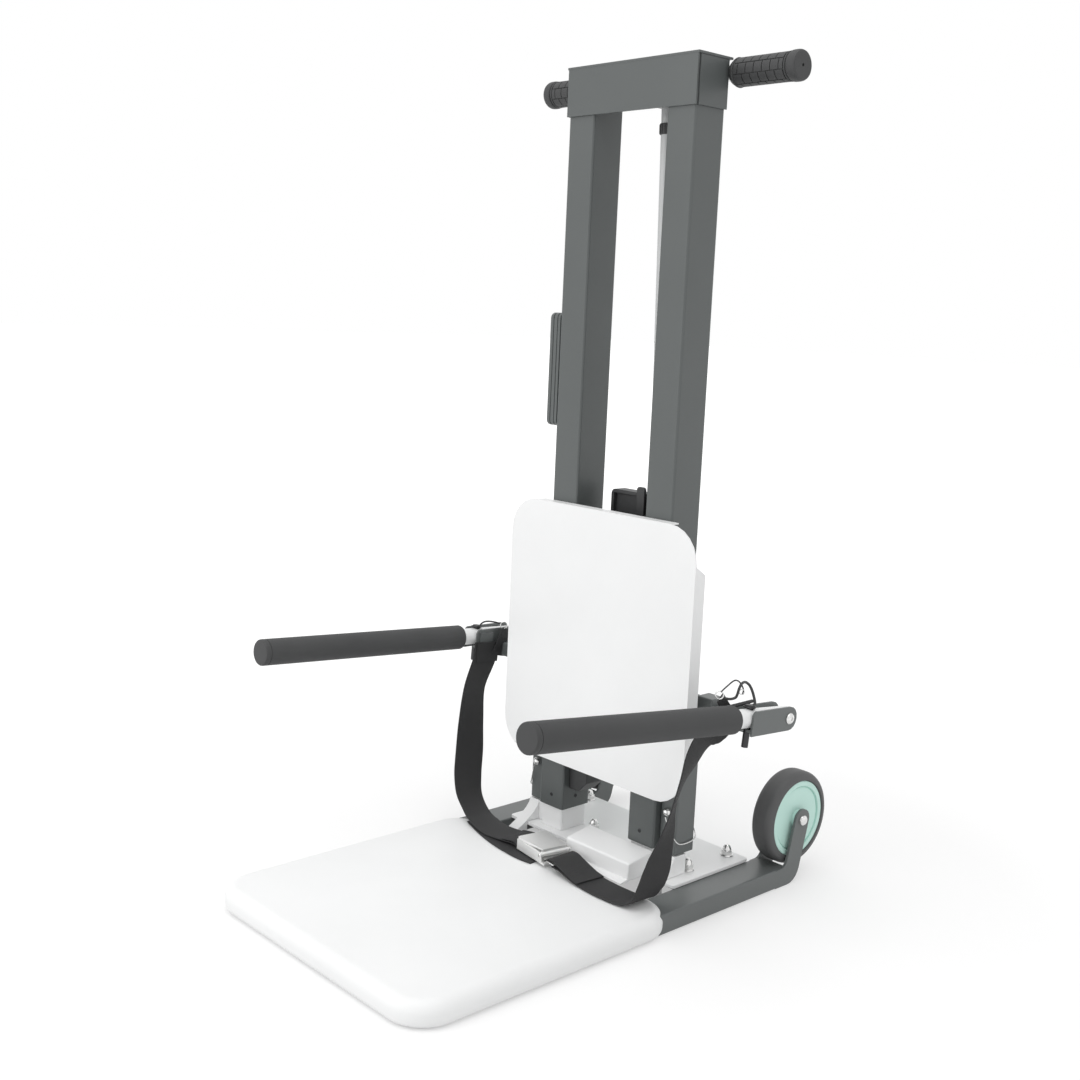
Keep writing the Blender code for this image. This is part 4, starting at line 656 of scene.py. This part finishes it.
def wire_along(name, run, radius, sides=10):
    """A round wire along a run of points, closed at its ends."""
    loops = []
    side = None
    for k, place in enumerate(run):
        along = (run[min(k + 1, len(run) - 1)] - run[max(k - 1, 0)]).normalized()
        side = along.orthogonal() if side is None else side - along * side.dot(along)
        side.normalize()
        other = along.cross(side)
        loops.append([place + (side * cos(2 * pi * n / sides) + other * sin(2 * pi * n / sides)) * radius
                      for n in range(sides)])
    return skinned(name, loops)


def ring_run(centre, facing, radius, turns, steps=40):
    """A split ring: a little more than a turn of wire that faces the given way."""
    facing = Vector(facing).normalized()
    one = facing.orthogonal().normalized()
    two = facing.cross(one)
    count = int(steps * turns)
    return [Vector(centre) + (one * cos(2 * pi * k / steps) + two * sin(2 * pi * k / steps)) * radius
            + facing * 0.0013 * (k / count - 0.5) for k in range(count + 1)]


pin_heads = {"right": (0.2720, 0.1030, 0.3118), "left": (-0.2720, 0.1027, 0.3087)}
tie_points = {
    "right": [(0.2720, 0.1104, 0.3120), (0.2715, 0.1143, 0.3148), (0.2685, 0.1153, 0.3219), (0.2653, 0.1142, 0.3306),
              (0.2625, 0.1110, 0.3377), (0.2629, 0.1018, 0.3426), (0.2662, 0.0907, 0.3425), (0.2654, 0.0873, 0.3362),
              (0.2640, 0.0867, 0.3294), (0.2620, 0.0857, 0.3245), (0.2590, 0.0805, 0.3227), (0.2560, 0.0741, 0.3236),
              (0.2535, 0.0690, 0.3259)],
    "left": [(-0.2720, 0.1101, 0.3092), (-0.2710, 0.1130, 0.3125), (-0.2690, 0.1175, 0.3150), (-0.2655, 0.1240, 0.3155),
             (-0.2610, 0.1320, 0.3140), (-0.2565, 0.1390, 0.3120)]}
loop_points = [(0.2525, 0.0676, 0.3324), (0.2535, 0.0720, 0.3359), (0.2550, 0.0777, 0.3400), (0.2570, 0.0828, 0.3442),
               (0.2595, 0.0865, 0.3465), (0.2625, 0.0899, 0.3451), (0.2650, 0.0934, 0.3398), (0.2665, 0.0952, 0.3339),
               (0.2670, 0.0931, 0.3291)]
ring_places = {"right": (0.2516, 0.0661, 0.3285), "left": (-0.2516, 0.1425, 0.3095)}
ring_facing = {"right": (0.75, -0.62, 0.2), "left": (0.8, -0.55, 0.1)}
tie_radii = {"right": 0.0018, "left": 0.0013}
THIN_TIE = 0.0010


def tied(name, run, radius, body, ends=()):
    """A springy coated cord along a run, riding on its body if it has one; where ends are given, its placing is baked
    into its mesh.
    """
    tie = settle(name, wire_along(name, run, radius), black_plastic, body)
    if ends:
        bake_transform(tie)


for word in ("right", "left"):
    softened(f"arm_lock_pin_{word}", black_steel, f"{word}_lock_pin", 0.0005, 2)
    eye = wire_along("pin_eye", ring_run(pin_heads[word], (0, 0.1, 1), 0.0076, 1.1), 0.0008, 8)
    settle(f"pin_eye_{word}", eye, black_steel, f"{word}_arm")
    run = smooth_run(tie_points[word], 6)
    tied(f"pin_tie_{word}", run, tie_radii[word], None, ("lift", f"{word}_arm", run[-1], run[0]))
    ring = wire_along("split_ring", ring_run(ring_places[word], ring_facing[word], 0.0052, 1.6), 0.0009, 8)
    settle(f"split_ring_{word}", ring, plated, "lift")
tied("ring_tie_right", smooth_run(loop_points, 6), THIN_TIE, "lift")
loop_eye = wire_along("loop_eye", ring_run((0.2675, 0.0911, 0.3322), (0.75, -0.62, 0.2), 0.0033, 1.2), 0.0006, 8)
settle("loop_eye_right", loop_eye, plated, "lift")


# Mast pins: plated pins with a domed head through each upright's foot.
# A bent spring wire runs from each head round the upright and holds its pin in.
bail_points = [(0.1340, 0.1112, 0.1185), (0.1385, 0.1130, 0.1060), (0.1440, 0.1162, 0.0935), (0.1492, 0.1200, 0.0848),
               (0.1507, 0.1270, 0.0806), (0.1508, 0.1390, 0.0792), (0.1507, 0.1520, 0.0806), (0.1490, 0.1604, 0.0848),
               (0.1440, 0.1612, 0.0960), (0.1380, 0.1610, 0.1090), (0.1340, 0.1608, 0.1195)]
pin_profile = [(0, 14.3), (1.6, 14.2), (3.9, 13.4), (5.6, 11.6), (6.2, 9.6), (6.2, 6.0), (5.4, 5.3), (4.0, 5.3),
               (4.0, -38.4), (3.4, -39.7), (0, -39.7)]
for word, side in (("right", 1), ("left", -1)):
    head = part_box(f"mast_pin_{word}")
    axis = (Matrix.Translation((side * 0.133, head[0][1] + 0.0143, 0.1246)) @ Matrix.Rotation(pi / 2, 4, "X"))
    settle(f"mast_pin_{word}_skin", turned("mast_pin", pin_profile, axis, 32), plated, f"{word}_mast_pin",
           (f"mast_pin_{word}",), 28.0)
    bail = wire_along("bail", smooth_run([(side * x, y, z) for x, y, z in bail_points], 6), 0.0009, 8)
    settle(f"pin_bail_{word}", bail, plated, "lift")


# Lap belt: two lengths of 49 mm black webbing, hung from the arm channels and lying on the platform.
# Each is folded back and sewn where it meets its channel and the buckle.
weave, given, out = effect("Weave", [("Colour", (0.03, 0.03, 0.03, 1)), ("Shade", (0.02, 0.02, 0.02, 1)),
                                     ("Roughness", 0.7), ("Ribs", 2.6), ("Picks", 1.9)], SKIN)
cloth = wire(weave, "ShaderNodeTexCoord", {}).outputs["UV"]
ribs = wire(weave, "ShaderNodeTexWave", {"Vector": cloth, "Scale": given["Ribs"]}, bands_direction="X")
picks = wire(weave, "ShaderNodeTexWave", {"Vector": cloth, "Scale": given["Picks"]}, bands_direction="Y")
over = wire(weave, "ShaderNodeMath", {0: ribs.outputs["Fac"], 1: picks.outputs["Fac"]}, operation="SUBTRACT")
over = wire(weave, "ShaderNodeMath", {0: over.outputs[0]}, operation="ABSOLUTE")
tint = wire(weave, "ShaderNodeMix", {0: over.outputs[0], 6: given["Shade"], 7: given["Colour"]}, data_type="RGBA")
vary = wire(weave, "ShaderNodeMath", {0: over.outputs[0], 1: -0.12, 2: given["Roughness"]},
            operation="MULTIPLY_ADD")
weave.links.new(tint.outputs[2], out["Colour"])
weave.links.new(vary.outputs[0], out["Roughness"])
weave.links.new(over.outputs[0], out["Height"])
black_webbing = finished("Black webbing", weave, {"Colour": (0.036, 0.036, 0.037, 1), "Shade": (0.024, 0.024, 0.025, 1),
                                                  "Roughness": 0.72}, 0.5, 0.0004, specular=0.35)
WEBBING_WIDTH = 0.049
WEBBING = 0.002


def webbing_frames(points, steps=10, wide=(0, 1, 0)):
    """Places along webbing with its across and out directions and the length so far.

    A point's fourth value turns the webbing about its run, in degrees."""
    run = smooth_run([(*point, 0)[:4] for point in points], steps)
    frames, so_far = [], 0.0
    for k, (*place, turn) in enumerate(run):
        place = Vector(place)
        along = (run[min(k + 1, len(run) - 1)] - run[max(k - 1, 0)]).to_3d().normalized()
        across = Vector(wide)
        across = (across - along * across.dot(along)).normalized()
        across = Matrix.Rotation(radians(turn), 3, along) @ across
        if k:
            so_far += (place - frames[-1][0]).length
        frames.append((place, across, along.cross(across), so_far))
    return frames


def webbing_mesh(name, frames, width=WEBBING_WIDTH, end_width=None):
    """Webbing with rounded selvedges, its UV map in centimetres across and along."""
    edge = WEBBING / 2
    first, last = frames[0][3], frames[-1][3]
    loops, flat = [], []
    for place, across, outward, so_far in frames:
        half = (width + ((end_width or width) - width) * (so_far - first) / (last - first)) / 2
        section = [(-half, 0), (-half + edge * 0.4, edge * 0.75), (-half + edge * 1.4, edge)]
        section += [(half * t, edge) for t in (-0.5, 0.0, 0.5)]
        section += [(-a, o) for a, o in reversed(section[:3])]
        section += [(a, -o) for a, o in reversed(section[1:-1])]
        loops.append([place + across * a + outward * o for a, o in section])
        flat += [(a * 100, so_far * 100) for a, o in section]
    mesh = skinned(name, loops)
    cloth = mesh.uv_layers.new(name="cloth")
    for loop in mesh.loops:
        cloth.data[loop.index].uv = flat[loop.vertex_index]
    return mesh


def part_of(frames, start, end, rise):
    """The stretch of webbing between two lengths, lifted off by a height that depends on the length."""
    return [(place + outward * rise((so_far - start) / (end - start)), across, outward, so_far)
            for place, across, outward, so_far in frames if start <= so_far <= end]


def on_webbing(frames, so_far, across_by, above):
    """A point on the face of webbing at a length along it and a distance across it."""
    for one, two in zip(frames, frames[1:]):
        if one[3] <= so_far <= two[3]:
            break
    share = (so_far - one[3]) / (two[3] - one[3])
    place = one[0].lerp(two[0], share)
    return place + one[1].lerp(two[1], share) * across_by + one[2].lerp(two[2], share) * above


def sewn_box(frames, start, end, half, above):
    """Lines of a box stitch with its cross, from one length to another."""
    corners = [(start, -half), (end, -half), (end, half), (start, half)]
    pairs = list(zip(corners, corners[1:] + corners[:1])) + [(corners[0], corners[2]), (corners[1], corners[3])]
    return [[on_webbing(frames, a[0] + (b[0] - a[0]) * k / 12, a[1] + (b[1] - a[1]) * k / 12, above)
             for k in range(13)] for a, b in pairs]


buckle = Matrix.Translation((-0.013, 0.026, 0.0378)) @ Matrix.Rotation(radians(-9), 4, "Z")
y, hang, lie = 0.108, 0.2516, 0.0348
left_points = [(-hang, y + 0.001, 0.286), (-hang, y - 0.003, 0.262, -3), (-0.2518, y - 0.0215, 0.2175, -8),
               (-0.2486, y - 0.0290, 0.1646, 2), (-0.2443, y - 0.0336, 0.1206, 10), (-0.2357, y - 0.0425, 0.0843, 7),
               (-0.2200, y - 0.0515, 0.0590, -4), (-0.1901, y - 0.0610, 0.0430, -9),
               (-0.1530, y - 0.0730, lie + 0.0034, -4), (-0.1210, y - 0.0785, lie + 0.0026),
               (-0.0920, y - 0.0765, lie + 0.0036), buckle @ Vector((-0.0533, 0, WEBBING)),
               buckle @ Vector((-0.0353, 0, WEBBING))]
right_points = [buckle @ Vector((0.0513, 0, 0.00435)), buckle @ Vector((0.0693, 0, 0.00435)),
                (0.0770, y - 0.0950, lie + 0.003), (0.0970, y - 0.0964, lie + 0.001), (0.1180, y - 0.0982, lie + 0.001),
                (0.1380, y - 0.0984, lie + 0.001), (0.1575, y - 0.0972, lie + 0.001),
                (0.1745, y - 0.0950, lie + 0.003, -2), (0.1880, y - 0.0925, 0.0455, -2),
                (0.1950, y - 0.0885, 0.0630, -4), (0.1964, y - 0.0785, 0.0825, -3), (0.1966, y - 0.0712, 0.1055, 6),
                (0.1998, y - 0.0667, 0.1312, 18), (0.2036, y - 0.0637, 0.1622, 30), (0.2137, y - 0.0632, 0.1951, 29),
                (0.2275, y - 0.0630, 0.2270, 18), (0.2375, y - 0.0635, 0.2520, 8), (0.2443, y - 0.0600, 0.2680, 0),
                (0.2486, y - 0.0520, 0.2780, -6), (0.2506, y - 0.0415, 0.2860, -8), (hang, y - 0.0300, 0.2940, -6)]
belt_runs = {"left": webbing_frames(left_points), "right": webbing_frames(right_points)}
for word, frames in belt_runs.items():
    belt = settle(f"belt_{word}_skin", webbing_mesh("belt", frames), black_webbing, "lift", (f"belt_{word}",))
tail = webbing_frames([(-0.172, 0.0430, lie), (-0.140, 0.0315, lie), (-0.110, 0.0225, lie), (-0.080, 0.0160, lie),
                       (-0.055, 0.0130, lie), (-0.030, 0.0115, lie), (-0.008, 0.0140, lie)], 6)
tail_end = settle("belt_tail", webbing_mesh("tail", tail), black_webbing, "lift")
fold_runs = {
    "buckle_right": webbing_frames(
        [buckle @ Vector((0.0318, 0, 0.0074)), buckle @ Vector((0.0385, 0, 0.0110)), buckle @ Vector((0.0500, 0, 0.0120)),
         buckle @ Vector((0.0640, 0, 0.0092)), (0.0770, y - 0.0950, lie + 0.0056), (0.0930, y - 0.0962, lie + 0.0034)], 6),
    "buckle_left": part_of(belt_runs["left"], belt_runs["left"][-1][3] - 0.042, belt_runs["left"][-1][3],
                           lambda t: WEBBING * 1.05 + 0.0012 * sin(pi * t)),
    "channel_right": webbing_frames(
        [(0.2494, 0.106, 0.276), (0.2494, 0.107, 0.288), (0.2494, 0.108, 0.300), (0.2502, 0.108, 0.3085),
         (0.2535, 0.108, 0.3115), (0.2580, 0.108, 0.3105)], 6),
    "channel_left": webbing_frames(
        [(-0.2494, 0.1075, 0.2560), (-0.2494, 0.1085, 0.2700), (-0.2494, 0.1092, 0.2865)], 6),
    "ring_left": webbing_frames(
        [(-0.2494, 0.1310, 0.2630), (-0.2466, 0.1340, 0.2760), (-0.2466, 0.1385, 0.2920), (-0.2485, 0.1425, 0.3050)], 6,
        (0, 1, -0.3)),
    "ring_right": webbing_frames(
        [(0.2462, 0.094, 0.300), (0.2466, 0.086, 0.3085), (0.2476, 0.078, 0.3165), (0.2492, 0.071, 0.3235)], 6,
        (0, 0.7, 0.7))}
fold_widths = {"ring_right": (0.016, 0.016), "ring_left": (0.034, 0.014), "channel_left": (0.043, 0.043)}
for word, frames in fold_runs.items():
    width, end_width = fold_widths.get(word, (WEBBING_WIDTH, WEBBING_WIDTH))
    fold = settle(f"belt_fold_{word}", webbing_mesh("fold", frames, width, end_width), black_webbing, "lift")
stitch_lines = (sewn_box(fold_runs["buckle_right"], 0.044, 0.058, 0.019, WEBBING / 2)
                + sewn_box(fold_runs["buckle_left"], fold_runs["buckle_left"][0][3] + 0.003,
                           fold_runs["buckle_left"][0][3] + 0.020, 0.019, WEBBING / 2)
                + sewn_box(fold_runs["channel_right"], 0.003, 0.020, 0.019, WEBBING / 2)
                + sewn_box(fold_runs["channel_left"], 0.003, 0.020, 0.019, WEBBING / 2))
black_thread = coated("Black webbing", (0.045, 0.045, 0.046), (0.038, 0.038, 0.039), 0.55, 0.2, 2400, 60, 0.2)
black_thread["slot"] = "Black webbing"
settle("belt_stitches", bead_lines("belt_stitches", stitch_lines, 0.0038, 0.0029, 0.0008, 0.0007, black_thread),
       black_thread, "lift")


# Buckle: a lift-lever buckle of brushed and plated steel: a pressed body with two cheeks, a lever plate that
# narrows to its hinge and rolls over it, the rivets it turns on, and the flat tongue of the other half.
brushed = coated("Brushed steel", (0.90, 0.90, 0.89), (0.84, 0.84, 0.835), 0.48, 0.2, 700, 18, 0.08, 1.0)
softened("buckle_body", brushed, "lift", 0.0006, 2)
softened("buckle_tongue", brushed, "lift", 0.0006, 2)
bm = solid_copy("buckle_lever")
rounded_over(bm, 0.0009, 3, 38.0)
bm.transform(buckle.inverted())
for vert in bm.verts:
    if vert.co.z > 0.0149:
        share = min(max((vert.co.x + 0.010) / 0.033, 0), 1)
        vert.co.y *= 1 - 0.24 * share ** 1.4
settle("buckle_lever_skin", as_mesh("buckle_lever", bm, buckle), brushed, "lever", ("buckle_lever",))
rivet = turned("rivet", [(0, 0.9), (1.6, 0.8), (2.6, 0.4), (3.0, -0.2), (0, -0.2)], steps=24)
rivet_places = [(buckle @ Vector((0.023, side * 0.026, 0.011)), buckle.to_3x3() @ Vector((0, side, 0)), 0)
                for side in (1, -1)]
settle("buckle_rivets", copies("buckle_rivets", rivet, rivet_places, plated), plated, "lift")
